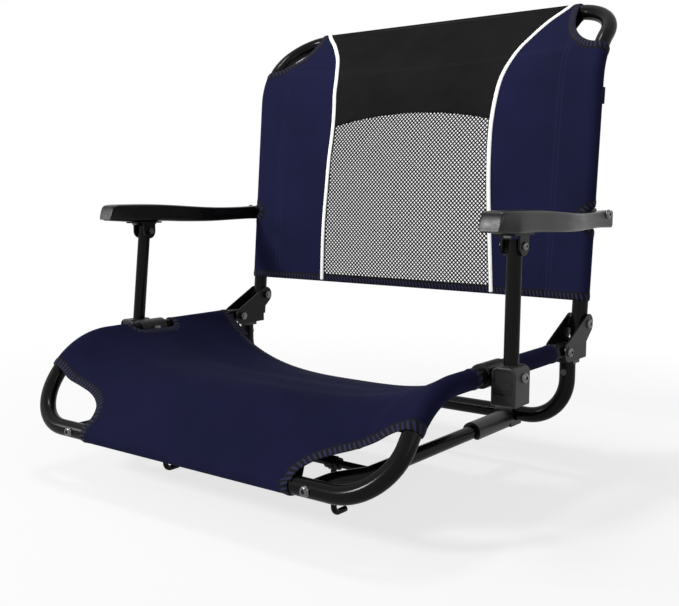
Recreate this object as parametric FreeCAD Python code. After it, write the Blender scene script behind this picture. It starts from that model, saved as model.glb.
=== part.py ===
import FreeCAD
import Part
import math
import os

# A folding stadium seat that hooks over the front edge of a bench. Sizes are in millimetres.
# X runs to the right as seen from the front, Y to the back and Z up. The origin is the middle of
# the bench's front top edge: the runners rest on z = 0 and the hooks meet the edge at y = 0.

# Tubing
frame_tube_diameter = 19.0
frame_wall = 1.2
post_tube_diameter = 16.0
post_wall = 1.2
runner_tube_diameter = 16.0
runner_wall = 1.2

# Clearances
running_gap = 0.05
open_pivot_gap = 0.3
side_play = 0.1
swing_gap = 0.5

# Seat frame: two rails that dive over a knee to one front run
rail_offset = 262.5
rail_height = 104.5
rail_rear_reach = 273.0
front_reach = 99.0
front_height = 13.7
front_slope = 53.0
seat_knee_radius = 100.0
seat_corner_radius = 60.0

# Rear leg: a U of tube behind the rails
leg_setback = 13.0
leg_drop = 16.5
cross_height = 16.0
leg_corner_radius = 52.0
leg_plug_depth = 18.0
leg_plug_rise = 20.0
leg_plug_length = 18.0
rivet_drop = 11.0
rivet_radius = 2.0
rivet_head_radius = 3.8
rivet_head_height = 1.6

# Hinge bracket that joins rail, leg and back
rail_bolt_setback = 11.4
pivot_back = 54.4
pivot_rise = 27.5
bracket_round_radius = 12.0
bracket_plate_thickness = 1.8
bracket_neck_length = 6.0
bracket_web_length = 12.5
washer_thickness = 1.6
washer_radius = 7.0
stop_pin_radius = 4.0
stop_pin_drop = 21.5

# Back frame: two uprights that bend back over a knee to one top run
lean = 4.8
back_tail_length = 28.0
top_back = 102.0
top_rise = 389.0
top_slope = 40.0
back_knee_radius = 85.0
back_corner_radius = 58.0

# Arm linkage: the posts are as long as the pivots on the back stand apart
arm_link = 133.0
post_pivot_y = 91.5
post_splay = 4.5
clamp_length = 40.0
clamp_radius = 13.0
clamp_flat_offset = 12.0
socket_inner_wall = 4.7
socket_outer_wall = 7.0
socket_front_reach = 19.5
socket_rear_reach = 14.5
socket_above = 12.0
socket_below = 28.5
socket_floor = 4.0
socket_top_radius = 8.0
socket_fillet = 2.0
socket_margin = 3.5
panel_drop = 2.8
panel_height = 11.3
panel_depth = 1.2
ridge_drop = 6.9
ridge_height = 3.4
ridge_depth = 0.7
slot_drop = 16.5
slot_height = 5.5
slot_depth = 2.0
post_head_height = 6.5

# Armrest and the clevis under it
arm_play = 0.7
arm_width = 27.5
arm_tail_width = 16.0
arm_taper_start = 98.0
arm_taper_end = 192.0
arm_seat_rise = 13.0
arm_seat_front = 24.6
arm_seat_rear = 24.4
arm_lip_reach = 62.0
arm_lip_rise = 15.5
arm_lip_height = 4.0
arm_bevel_reach = 56.2
arm_bevel_rise = 33.6
arm_crown_reach = 9.6
arm_crown_rise = 37.0
arm_shoulder_back = 37.4
arm_shoulder_rise = 36.0
arm_waist_back = 140.0
arm_waist_rise = 30.2
arm_belly_rise = 10.2
arm_end_length = 16.0
arm_end_top_height = 6.0
arm_end_low_height = 12.5
arm_chin_width = 8.0
arm_chin_length = 36.0
ear_play = 0.8
ear_plate_thickness = 2.4
ear_round_radius = 10.0
clevis_plate_thickness = 2.0
clevis_reach = 22.0
clevis_screw_reach = 17.0
clevis_screw_radius = 1.75
clevis_screw_head_radius = 3.5
clevis_screw_head_height = 2.0
clevis_screw_depth = 12.0

# Runners, their feet and the hooks
runner_offset = 184.5
runner_front_offset = 178.4
runner_rear_reach = 270.0
runner_bend_start = -66.0
runner_bend_end = -14.0
runner_bend_radius = 90.0
runner_insert_length = 15.0
foot_front_reach = 194.0
foot_wall = 4.0
foot_slot_width = 8.0
foot_screw_radius = 1.75
foot_screw_head_radius = 3.5
foot_screw_head_height = 2.5
foot_screw_recess = 0.8
foot_screw_length = 11.0
hook_offset = 131.0
hook_rod_diameter = 6.5
hook_drop = 51.0
hook_tip_length = 17.0
hook_bend_radius = 8.0
hook_eye_wall = 3.45
hook_bar_diameter = 8.0
hook_bar_inset = 5.3
collar_length = 5.0
collar_wall = 2.5
collar_gap = 0.3

# Fasteners
m6_radius = 3.0
m6_head_radius = 5.6
m6_head_height = 3.3
m6_key_flats = 4.0
m6_key_depth = 2.0
m6_nut_flats = 10.0
m6_nut_height = 5.0
m5_radius = 2.5
m5_head_radius = 4.6
m5_head_height = 2.8
m5_key_flats = 3.0
m5_key_depth = 1.6
m5_nut_flats = 8.0
m5_nut_height = 4.0
bolt_end_length = 1.0
plug_depth = 7.0
plug_cap_height = 2.0

# Cloth: sleeves slip over the tubes, sheets span between them
sleeve_gap = 0.3
cloth_thickness = 1.0
sheet_thickness = 1.8
sleeve_overlap = 0.8
seat_rear_edge_setback = 52.0
seat_sleeve_setback = 34.0
seat_sag_slope = 18.0
seat_sag_knee = 30.0
seat_sag_rail = 37.0
seat_sag_middle = 44.0
seat_sag_rear = 69.0
seat_middle_length = 116.0
seat_corner_cut_side = 112.0
seat_corner_cut_up = 70.0
seat_notch_margin = 5.5
seat_notch_depth = 20.5
back_edge_length = 29.0
back_corner_cut = 60.0
back_notch_below = 28.0
back_notch_above = 14.0
back_notch_depth = 17.5
cheek_relief = 17.0
seam_bottom = 137.5
seam_waist = 126.0
seam_shoulder = 142.5
seam_top = 195.0
waist_length = 252.0
shoulder_length = 340.0
mesh_crown = 15.0
piping_width = 4.0
piping_proud = 1.2
seam_gap = 0.1
net_pitch = 20.0
net_strand_width = 3.0
net_margin = 6.0
tab_length = 277.0
tab_height = 20.0
tab_reach = 8.0
tab_cloth_thickness = 1.2

# Places worked out from the sizes above
tube_radius = frame_tube_diameter / 2
tube_bore = tube_radius - frame_wall
front_y = -front_reach
rail_bolt = (rail_rear_reach - rail_bolt_setback, rail_height)
back_pivot = (rail_bolt[0] + pivot_back, rail_height + pivot_rise)
link_y = arm_link * math.sin(math.radians(lean))
link_z = arm_link * math.cos(math.radians(lean))
arm_pivot = (back_pivot[0] + link_y, back_pivot[1] + link_z)
post_pivot = (post_pivot_y, rail_height)
post_top = (post_pivot[0] + link_y, post_pivot[1] + link_z)
bracket_gap = frame_tube_diameter + 2 * (washer_thickness + side_play)
cheek_face = bracket_gap / 2 + bracket_plate_thickness
sleeve_bore = tube_radius + sleeve_gap
sleeve_outside = sleeve_bore + cloth_thickness
socket_face = rail_offset + sleeve_outside + swing_gap
post_foot_x = socket_face + socket_inner_wall + post_tube_diameter / 2
socket_side = post_foot_x + post_tube_diameter / 2 + socket_outer_wall
post_top_x = post_foot_x - post_splay
arm_face = rail_offset + sleeve_outside + arm_play
arm_tail_face = arm_face + arm_tail_width
leg_y = rail_rear_reach + leg_setback
seat_rear_edge_length = rail_rear_reach - seat_rear_edge_setback
seat_sleeve_end = rail_rear_reach - seat_sleeve_setback
leg_top_height = rail_height - leg_drop
runner_height = runner_tube_diameter / 2
foot_radius = runner_tube_diameter / 2 + foot_wall
hook_y = -hook_rod_diameter / 2
far = 1000.0


def vec(x, y, z):
    return FreeCAD.Vector(x, y, z)


def block(low, high):
    """Box between two opposite corners."""
    size = high - low
    return Part.makeBox(size.x, size.y, size.z, low)


def rod(start, end, radius):
    """Round bar between two points."""
    return Part.makeCylinder(radius, (end - start).Length, start, end - start)


def across(place, low_x, high_x, radius):
    """Round bar along X at a (y, z) place."""
    return rod(vec(low_x, *place), vec(high_x, *place), radius)


def ring(place, low_x, high_x, outside, inside):
    """Washer along X at a (y, z) place."""
    return across(place, low_x, high_x, outside).cut(across(place, low_x, high_x, inside))


def mirrored(shape):
    """The same shape on the other side of the seat."""
    return shape.mirror(vec(0, 0, 0), vec(1, 0, 0))


def pair(shape):
    """One shape on each side of the seat, as separate solids."""
    return Part.makeCompound([shape, mirrored(shape)])


def closed_face(start, *steps):
    """Flat face inside a loop. A step is the end of a straight side or an arc's (middle, end)."""
    edges = []
    here = start
    for step in steps:
        if isinstance(step, tuple):
            middle, there = step
            edges.append(Part.Arc(here, middle, there).toShape())
        else:
            there = step
            edges.append(Part.LineSegment(here, there).toShape())
        here = there
    if not here.isEqual(start, 1e-6):
        edges.append(Part.LineSegment(here, start).toShape())
    return Part.Face(Part.Wire(edges))


def rounded_path(points, radii):
    """Straight runs joined by tangent arcs. A bend is limited by the runs beside it."""
    ways = [(b - a).normalize() for a, b in zip(points, points[1:])]
    runs = [(b - a).Length for a, b in zip(points, points[1:])]
    turns = [a.getAngle(b) for a, b in zip(ways, ways[1:])]
    needs = [radius * math.tan(turn / 2) for radius, turn in zip(radii, turns)]
    sums = [a + b for a, b in zip([0] + needs, needs + [0])]
    room = [min(1, 0.98 * run / need) for run, need in zip(runs, sums)]
    edges = []
    here = points[0]
    for i, turn in enumerate(turns):
        share = min(room[i], room[i + 1])
        setback = needs[i] * share
        radius = radii[i] * share
        corner = points[i + 1]
        enter = corner - ways[i] * setback
        leave = corner + ways[i + 1] * setback
        inward = (ways[i + 1] - ways[i]).normalize()
        middle = corner + inward * (radius / math.cos(turn / 2) - radius)
        edges.append(Part.LineSegment(here, enter).toShape())
        edges.append(Part.Arc(enter, middle, leave).toShape())
        here = leave
    edges.append(Part.LineSegment(here, points[-1]).toShape())
    return edges


def sweep(path, radius):
    """Round bar along a path."""
    start = path[0].valueAt(path[0].FirstParameter)
    way = path[0].tangentAt(path[0].FirstParameter)
    section = Part.Wire(Part.Circle(start, way, radius).toShape())
    return Part.Wire(path).makePipeShell([section], True, False)


def pipe(path, outside, inside):
    """Tube along a path, from its two radii."""
    return sweep(path, outside).cut(sweep(path, inside))


def hexagon(place, low_x, high_x, flats):
    """Six-sided bar along X at a (y, z) place."""
    corner = flats / math.sqrt(3)
    angles = [math.radians(60 * step) for step in range(6)]
    points = [
        vec(low_x, place[0] + corner * math.cos(a), place[1] + corner * math.sin(a)) for a in angles
    ]
    return closed_face(points[0], *points[1:]).extrude(vec(high_x - low_x, 0, 0))


def button_head(place, seat_x, radius, height, key_flats, key_depth):
    """Domed head along X on the face at seat_x, with a six-sided socket for a key."""
    top = seat_x + height
    cap = across(place, seat_x, top, radius)
    rim = [edge for edge in cap.Edges if edge.BoundBox.XMin > seat_x + height / 2]
    cap = cap.makeFillet(height * 0.9, rim[:1])
    return cap.cut(hexagon(place, top - key_depth, top + height, key_flats))


def m6_head(place, seat_x):
    return button_head(place, seat_x, m6_head_radius, m6_head_height, m6_key_flats, m6_key_depth)


def m5_head(place, seat_x):
    return button_head(place, seat_x, m5_head_radius, m5_head_height, m5_key_flats, m5_key_depth)


def bolt(place, inner_x, outer_x, radius, nut, head):
    """Bolt along X: the head outside, the end just past a nut inside."""
    shank = across(place, inner_x - nut - bolt_end_length, outer_x, radius)
    return shank.fuse(head).removeSplitter()


def hex_nut(place, inner_x, flats, height, bore):
    """Six-sided nut along X against the face at inner_x."""
    prism = hexagon(place, inner_x - height, inner_x, flats)
    return prism.cut(across(place, inner_x - 2 * height, inner_x + height, bore))


def m6_bolt(place, inner_x, outer_x):
    return bolt(place, inner_x, outer_x, m6_radius, m6_nut_height, m6_head(place, outer_x))


def m6_nut_at(place, inner_x):
    return hex_nut(place, inner_x, m6_nut_flats, m6_nut_height, m6_radius + running_gap)


def m6_hole(place, low_x, high_x):
    return across(place, low_x, high_x, m6_radius + running_gap)


# Seat frame
slope = math.radians(front_slope)
knee_y = front_y + (rail_height - front_height) / math.tan(slope)
seat_path = rounded_path(
    [
        vec(-rail_offset, rail_rear_reach, rail_height),
        vec(-rail_offset, knee_y, rail_height),
        vec(-rail_offset, front_y, front_height),
        vec(rail_offset, front_y, front_height),
        vec(rail_offset, knee_y, rail_height),
        vec(rail_offset, rail_rear_reach, rail_height),
    ],
    [seat_knee_radius, seat_corner_radius, seat_corner_radius, seat_knee_radius],
)


def front_bolt_line(radius, low_y, high_y):
    """Round bar along Y through the front run, where a runner is bolted on."""
    start = vec(runner_front_offset, low_y, front_height)
    return rod(start, vec(runner_front_offset, high_y, front_height), radius)


def seat_frame_tube():
    shape = pipe(seat_path, tube_radius, tube_bore)
    for side in (1, -1):
        beside = side * rail_offset
        shape = shape.cut(m6_hole(rail_bolt, beside - frame_tube_diameter, beside + frame_tube_diameter))
        shape = shape.cut(m6_hole(post_pivot, beside - frame_tube_diameter, beside + frame_tube_diameter))
    before = front_y - frame_tube_diameter
    behind = front_y + frame_tube_diameter
    hole = front_bolt_line(m6_radius + running_gap, before, behind)
    return shape.cut(hole).cut(mirrored(hole))


def rail_end_plugs():
    end = vec(rail_offset, rail_rear_reach, rail_height)
    cap = rod(end, end + vec(0, plug_cap_height, 0), tube_radius)
    shank = rod(end - vec(0, plug_depth, 0), end, tube_bore - running_gap)
    return pair(cap.fuse(shank))


# Rear leg
leg_path = rounded_path(
    [
        vec(-rail_offset, leg_y, leg_top_height),
        vec(-rail_offset, leg_y, cross_height),
        vec(rail_offset, leg_y, cross_height),
        vec(rail_offset, leg_y, leg_top_height),
    ],
    [leg_corner_radius, leg_corner_radius],
)
rivet_z = leg_top_height - rivet_drop


def rivet_line(radius, reach):
    """Round bar along Y through the leg, centred on it."""
    middle = vec(rail_offset, leg_y, rivet_z)
    return rod(middle - vec(0, reach, 0), middle + vec(0, reach, 0), radius)


def foot_screw_line(radius, low_z, high_z):
    """Upright round bar where a foot is screwed to the rear leg's cross run."""
    return rod(vec(runner_offset, leg_y, low_z), vec(runner_offset, leg_y, high_z), radius)


def rear_leg_tube():
    rivet_hole = rivet_line(rivet_radius + running_gap, frame_tube_diameter)
    screw_hole = foot_screw_line(foot_screw_radius + running_gap, 0, cross_height)
    holes = [rivet_hole, mirrored(rivet_hole), screw_hole, mirrored(screw_hole)]
    return pipe(leg_path, tube_radius, tube_bore).cut(Part.makeCompound(holes))


def leg_top_plugs():
    half = leg_plug_length / 2
    low = vec(rail_offset - bracket_gap / 2, leg_y - half, leg_top_height)
    high = vec(rail_offset + bracket_gap / 2, leg_y + half, leg_top_height + leg_plug_rise)
    top = vec(rail_offset, leg_y, leg_top_height)
    shank = rod(top - vec(0, 0, leg_plug_depth), top, tube_bore - running_gap)
    plug = block(low, high).fuse(shank)
    return pair(plug.cut(rivet_line(rivet_radius + running_gap, frame_tube_diameter)))


def leg_rivets():
    shank = rivet_line(rivet_radius, tube_radius)
    front = vec(rail_offset, leg_y - tube_radius, rivet_z)
    back = vec(rail_offset, leg_y + tube_radius, rivet_z)
    heads = [
        rod(front - vec(0, rivet_head_height, 0), front, rivet_head_radius),
        rod(back, back + vec(0, rivet_head_height, 0), rivet_head_radius),
    ]
    return pair(shank.fuse(heads))


# Hinge bracket
def polar(place, radius, degrees):
    """Point at an angle on a circle about a (y, z) place, as (y, z)."""
    angle = math.radians(degrees)
    return (place[0] + radius * math.cos(angle), place[1] + radius * math.sin(angle))


def stop_pin_place():
    """The pin stands in front of the back tube's tail and stops the back's lean."""
    angle = math.radians(lean)
    ahead = tube_radius + side_play + stop_pin_radius
    y = back_pivot[0] - stop_pin_drop * math.sin(angle) - ahead * math.cos(angle)
    z = back_pivot[1] - stop_pin_drop * math.cos(angle) + ahead * math.sin(angle)
    return (y, z)


def cheek(low_x):
    """Side plate: rounds about the two bolts, a slanted top, a hooked neck and a flat bottom."""
    rise = math.degrees(math.atan2(pivot_rise, pivot_back))
    upper = rise + 90
    leaving = -50
    neck_y = back_pivot[0] - bracket_neck_length
    off = polar(back_pivot, bracket_round_radius, leaving)
    neck_z = off[1] - (off[0] - neck_y) / math.tan(math.radians(-leaving))
    bottom = rail_height - bracket_round_radius
    outline = [
        (polar(back_pivot, bracket_round_radius, (upper + leaving) / 2), off),
        (neck_y, neck_z),
        (neck_y, bottom),
        (rail_bolt[0], bottom),
        (polar(rail_bolt, bracket_round_radius, 180), polar(rail_bolt, bracket_round_radius, upper)),
    ]
    steps = [
        tuple(vec(low_x, *point) for point in step) if isinstance(step[0], tuple) else vec(low_x, *step)
        for step in outline
    ]
    start = vec(low_x, *polar(back_pivot, bracket_round_radius, upper))
    return closed_face(start, *steps).extrude(vec(bracket_plate_thickness, 0, 0))


def hinge_bracket():
    neck_y = back_pivot[0] - bracket_neck_length
    bottom = rail_height - bracket_round_radius
    web = block(
        vec(rail_offset - cheek_face, neck_y - bracket_web_length, bottom),
        vec(rail_offset + cheek_face, neck_y, bottom + bracket_plate_thickness),
    )
    inner = cheek(rail_offset - cheek_face)
    outer = cheek(rail_offset + bracket_gap / 2)
    shape = web.fuse([inner, outer])
    low_x = rail_offset - 2 * cheek_face
    high_x = rail_offset + 2 * cheek_face
    shape = shape.cut(m6_hole(rail_bolt, low_x, high_x))
    shape = shape.cut(m6_hole(back_pivot, low_x, high_x))
    pin_hole = across(stop_pin_place(), low_x, high_x, stop_pin_radius + running_gap)
    return shape.cut(pin_hole).removeSplitter()


def cheek_bolts(place):
    return pair(m6_bolt(place, rail_offset - cheek_face, rail_offset + cheek_face))


def cheek_nuts(place):
    return pair(m6_nut_at(place, rail_offset - cheek_face))


def cheek_washers(place):
    """Nylon washers between a tube and both cheeks."""
    inner = rail_offset - bracket_gap / 2
    outer = rail_offset + bracket_gap / 2
    hole = m6_radius + running_gap
    left = ring(place, inner, inner + washer_thickness, washer_radius, hole)
    right = ring(place, outer - washer_thickness, outer, washer_radius, hole)
    return Part.makeCompound([left, right, mirrored(left), mirrored(right)])


def back_stop_pins():
    low_x = rail_offset - cheek_face
    return pair(across(stop_pin_place(), low_x, rail_offset + cheek_face, stop_pin_radius))


# Back frame
back_lean = math.radians(lean)
upright = (math.sin(back_lean), math.cos(back_lean))
top_place = (back_pivot[0] + top_back, back_pivot[1] + top_rise)
top_way = (math.cos(math.radians(top_slope)), math.sin(math.radians(top_slope)))
upright_length = (top_rise * top_way[0] - top_back * top_way[1]) / math.sin(
    math.radians(90 - lean - top_slope)
)


def along_back(length):
    """Place at a length up the straight upright from the pivot."""
    return (back_pivot[0] + length * upright[0], back_pivot[1] + length * upright[1])


back_path = rounded_path(
    [
        vec(-rail_offset, *along_back(-back_tail_length)),
        vec(-rail_offset, *along_back(upright_length)),
        vec(-rail_offset, *top_place),
        vec(rail_offset, *top_place),
        vec(rail_offset, *along_back(upright_length)),
        vec(rail_offset, *along_back(-back_tail_length)),
    ],
    [back_knee_radius, back_corner_radius, back_corner_radius, back_knee_radius],
)
knee_turn = math.radians(90 - lean - top_slope)
knee_radius = back_path[1].Curve.Radius
knee_start = upright_length - knee_radius * math.tan(knee_turn / 2)
knee_end = knee_start + knee_radius * knee_turn
top_length = knee_end + math.dist(top_place, along_back(upright_length)) - upright_length + knee_start


def on_back(length, ahead):
    """(y, z) on the back at a length from the pivot along the tubes, a distance in front of them."""
    turned = min(max(length - knee_start, 0) / knee_radius, knee_turn)
    normal = (-math.cos(back_lean + turned), math.sin(back_lean + turned))
    way = (normal[1], -normal[0])
    bend = along_back(knee_start)
    centre = (bend[0] + knee_radius * upright[1], bend[1] - knee_radius * upright[0])
    straight = min(length - knee_start, 0) + max(length - knee_end, 0)
    reach = knee_radius + ahead
    y = centre[0] + reach * normal[0] + straight * way[0]
    z = centre[1] + reach * normal[1] + straight * way[1]
    return (y, z)


def back_frame_tube():
    shape = pipe(back_path, tube_radius, tube_bore)
    for side in (1, -1):
        beside = side * rail_offset
        shape = shape.cut(m6_hole(back_pivot, beside - frame_tube_diameter, beside + frame_tube_diameter))
        shape = shape.cut(m6_hole(arm_pivot, beside - frame_tube_diameter, beside + frame_tube_diameter))
    return shape


def back_end_plugs():
    end = vec(rail_offset, *along_back(-back_tail_length))
    inside = vec(rail_offset, *along_back(plug_depth - back_tail_length))
    outside = vec(rail_offset, *along_back(-back_tail_length - plug_cap_height / 2))
    return pair(rod(end, inside, tube_bore - running_gap).fuse(rod(outside, end, tube_radius)))


# Arm linkage
def rail_clamp():
    start = vec(rail_offset, post_pivot[0] - clamp_length / 2, rail_height)
    end = start + vec(0, clamp_length, 0)
    shape = rod(start, end, clamp_radius).cut(rod(start, end, tube_radius + running_gap))
    inner = rail_offset - clamp_flat_offset
    outer = rail_offset + tube_radius - 2 * side_play
    keep = block(vec(inner, 0, 0), vec(outer, far, far))
    hole = m6_hole(post_pivot, inner - clamp_radius, outer + clamp_radius)
    return shape.common(keep).cut(hole)


def post_way():
    """Unit vector up a post, which leans with the back and leans in at the top."""
    return vec(-post_splay, link_y, link_z).normalize()


def post_bore(radius):
    """The post's own space: from above the socket's floor to its head over the clevis bolt."""
    middle = vec(post_foot_x, *post_pivot)
    drop = (socket_below - socket_floor) / post_way().z
    head = vec(post_top_x, *post_top) + post_way() * post_head_height
    return rod(middle - post_way() * drop, head, radius)


def post_tube_shape():
    shape = post_bore(post_tube_diameter / 2).cut(post_bore(post_tube_diameter / 2 - post_wall))
    shape = shape.cut(m6_hole(post_pivot, 0, far))
    return shape.cut(across(post_top, 0, far, m5_radius + open_pivot_gap))


def on_socket(drop, height, front, back):
    """Flat bar across the socket's front face, from a drop below the rails."""
    face = post_pivot[0] - socket_front_reach
    return block(
        vec(socket_face + socket_margin, face - front, rail_height - drop),
        vec(socket_side - socket_margin, face + back, rail_height - drop + height),
    )


def post_socket():
    """Moulded cup round the foot of a post: round-shouldered, with a panel, a ridge and a slot in front."""
    low = vec(socket_face, post_pivot[0] - socket_front_reach, rail_height - socket_below)
    high = vec(socket_side, post_pivot[0] + socket_rear_reach, rail_height + socket_above)
    inner_x = low.x + socket_top_radius
    outer_x = high.x - socket_top_radius
    shoulder = high.z - socket_top_radius
    part_way = socket_top_radius * math.sqrt(0.5)
    outline = closed_face(
        low,
        vec(low.x, low.y, shoulder),
        (vec(inner_x - part_way, low.y, shoulder + part_way), vec(inner_x, low.y, high.z)),
        vec(outer_x, low.y, high.z),
        (vec(outer_x + part_way, low.y, shoulder + part_way), vec(high.x, low.y, shoulder)),
        vec(high.x, low.y, low.z),
    )
    shape = outline.extrude(vec(0, high.y - low.y, 0))
    rims = [edge for edge in shape.Edges if edge.BoundBox.YLength < socket_fillet]
    shape = shape.makeFillet(socket_fillet, rims)
    shape = shape.cut(on_socket(panel_drop, panel_height, panel_depth, panel_depth))
    shape = shape.cut(on_socket(slot_drop, slot_height, slot_depth, slot_depth))
    shape = shape.fuse(on_socket(ridge_drop, ridge_height, ridge_depth, ridge_depth))
    shape = shape.cut(post_bore(post_tube_diameter / 2 + running_gap))
    return shape.cut(m6_hole(post_pivot, 0, far)).removeSplitter()


def post_pivot_bolts():
    return pair(m6_bolt(post_pivot, rail_offset - clamp_flat_offset, socket_side + side_play))


def post_pivot_nuts():
    return pair(m6_nut_at(post_pivot, rail_offset - clamp_flat_offset))


# Armrest and its clevis
def clevis_screw_line(radius, low_z, high_z, side):
    """Upright round bar where a screw holds the clevis to the armrest."""
    y = post_top[0] + side * clevis_screw_reach
    return rod(vec(post_top_x, y, low_z), vec(post_top_x, y, high_z), radius)


arm_seat = post_top[1] + arm_seat_rise


def armrest():
    """Side outline with a leaning nose, a crown, a waist and a square end, tapered in plan."""
    y, z = post_top
    eye_y, eye_z = arm_pivot
    side = [
        vec(0, y - arm_lip_reach, z + arm_lip_rise),
        vec(0, y - arm_lip_reach, z + arm_lip_rise + arm_lip_height),
        vec(0, y - arm_bevel_reach, z + arm_bevel_rise),
        (
            vec(0, y - arm_crown_reach, z + arm_crown_rise),
            vec(0, y + arm_shoulder_back, z + arm_shoulder_rise),
        ),
        (
            vec(0, y + arm_waist_back, z + arm_waist_rise),
            vec(0, eye_y + arm_end_length, eye_z + arm_end_top_height),
        ),
        vec(0, eye_y + arm_end_length, eye_z - arm_end_low_height),
        (
            vec(0, y + arm_waist_back, z + arm_belly_rise),
            vec(0, y + arm_seat_rear, arm_seat),
        ),
        vec(0, y - arm_seat_front, arm_seat),
    ]
    shape = closed_face(side[0], *side[1:]).extrude(vec(far, 0, 0))
    outer = arm_face + arm_width
    plan = [
        vec(arm_face, y - far, 0),
        vec(outer, y - far, 0),
        vec(outer, y + arm_taper_start, 0),
        vec(arm_tail_face, y + arm_taper_end, 0),
        vec(arm_tail_face, y + far, 0),
        vec(arm_face, y + far, 0),
    ]
    shape = shape.common(closed_face(plan[0], *plan[1:]).extrude(vec(0, 0, far)))
    brow = vec(outer, y - arm_bevel_reach, z + arm_bevel_rise)
    chin = vec(outer - arm_chin_width, y - arm_lip_reach, z + arm_lip_rise)
    cheek = vec(outer, y - arm_lip_reach + arm_chin_length, arm_seat)
    outward = (cheek - brow).cross(chin - brow).normalize()
    if outward.x < 0:
        outward = outward * -1
    margin = (brow - chin) * 0.5
    corner = closed_face(brow + margin, chin - margin, cheek + (cheek - chin) * 0.5)
    shape = shape.cut(corner.extrude(outward * arm_width))
    shape = shape.cut(m6_hole(arm_pivot, 0, far))
    for end in (1, -1):
        depth = arm_seat + clevis_screw_depth
        shape = shape.cut(clevis_screw_line(clevis_screw_radius + running_gap, arm_seat, depth, end))
    return shape


def arm_pivot_bolts():
    return pair(m6_bolt(arm_pivot, rail_offset - tube_radius, arm_tail_face + side_play))


def arm_pivot_nuts():
    return pair(m6_nut_at(arm_pivot, rail_offset - tube_radius))


def arm_pivot_spacers():
    low_x = rail_offset + tube_radius
    return pair(ring(arm_pivot, low_x, arm_face - side_play, washer_radius, m6_radius + running_gap))


ear_face = post_tube_diameter / 2 + ear_play
ear_side = ear_face + ear_plate_thickness


def arm_clevis():
    """Plate under the armrest with two round-ended ears that straddle the post."""
    y, z = post_top
    shape = block(
        vec(post_top_x - ear_side, y - clevis_reach, arm_seat - clevis_plate_thickness),
        vec(post_top_x + ear_side, y + clevis_reach, arm_seat),
    )
    for low_x in (post_top_x - ear_side, post_top_x + ear_face):
        under = arm_seat - clevis_plate_thickness
        ear = closed_face(
            vec(low_x, y - ear_round_radius, under),
            vec(low_x, y - ear_round_radius, z),
            (vec(low_x, y, z - ear_round_radius), vec(low_x, y + ear_round_radius, z)),
            vec(low_x, y + ear_round_radius, under),
        )
        shape = shape.fuse(ear.extrude(vec(ear_plate_thickness, 0, 0)))
    shape = shape.cut(across(post_top, 0, far, m5_radius + running_gap))
    for end in (1, -1):
        hole = clevis_screw_line(clevis_screw_radius + running_gap, 0, far, end)
        shape = shape.cut(hole)
    return shape.removeSplitter()


def clevis_bolt():
    inner = post_top_x - ear_side
    outer = post_top_x + ear_side
    return bolt(post_top, inner, outer, m5_radius, m5_nut_height, m5_head(post_top, outer))


def clevis_nut():
    return hex_nut(post_top, post_top_x - ear_side, m5_nut_flats, m5_nut_height, m5_radius + running_gap)


def clevis_screws():
    under = arm_seat - clevis_plate_thickness
    screws = []
    for end in (1, -1):
        head = clevis_screw_line(clevis_screw_head_radius, under - clevis_screw_head_height, under, end)
        shank = clevis_screw_line(clevis_screw_radius, under, arm_seat + clevis_screw_depth, end)
        screws.append(head.fuse(shank))
    return Part.makeCompound(screws)


# Runners, feet and hooks
def runner_path():
    return rounded_path(
        [
            vec(runner_front_offset, front_y, front_height),
            vec(runner_front_offset, runner_bend_start, front_height),
            vec(runner_offset, runner_bend_end, runner_height),
            vec(runner_offset, runner_rear_reach, runner_height),
        ],
        [runner_bend_radius, runner_bend_radius],
    )


def front_run(radius):
    """Round bar along the straight front run."""
    return across((front_y, front_height), 0, rail_offset, radius)


def hook_bar_place():
    return (hook_y, runner_height)


def runner_tube_shape():
    shape = pipe(runner_path(), runner_tube_diameter / 2, runner_tube_diameter / 2 - runner_wall)
    shape = shape.cut(front_run(tube_radius + running_gap))
    bar_hole = across(hook_bar_place(), 0, runner_offset, hook_bar_diameter / 2 + running_gap)
    screw_hole = foot_screw_line(foot_screw_head_radius + running_gap, 0, cross_height)
    return shape.cut([bar_hole, screw_hole])


def front_insert_end():
    return front_y + tube_radius + runner_insert_length


def runner_end_inserts():
    """Threaded inserts in the runners' front ends."""
    radius = runner_tube_diameter / 2 - runner_wall - running_gap
    shape = front_bolt_line(radius, front_y, front_insert_end())
    shape = shape.cut(front_run(tube_radius + running_gap))
    return pair(shape.cut(front_bolt_line(m6_radius + running_gap, front_y, front_insert_end())))


def front_runner_bolts():
    face = front_y - tube_radius
    shank = front_bolt_line(m6_radius, face, front_insert_end() - bolt_end_length)
    head = m6_head((0, 0), 0)
    head.rotate(vec(0, 0, 0), vec(0, 0, 1), -90)
    head.translate(vec(runner_front_offset, face, front_height))
    return pair(shank.fuse(head))


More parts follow.
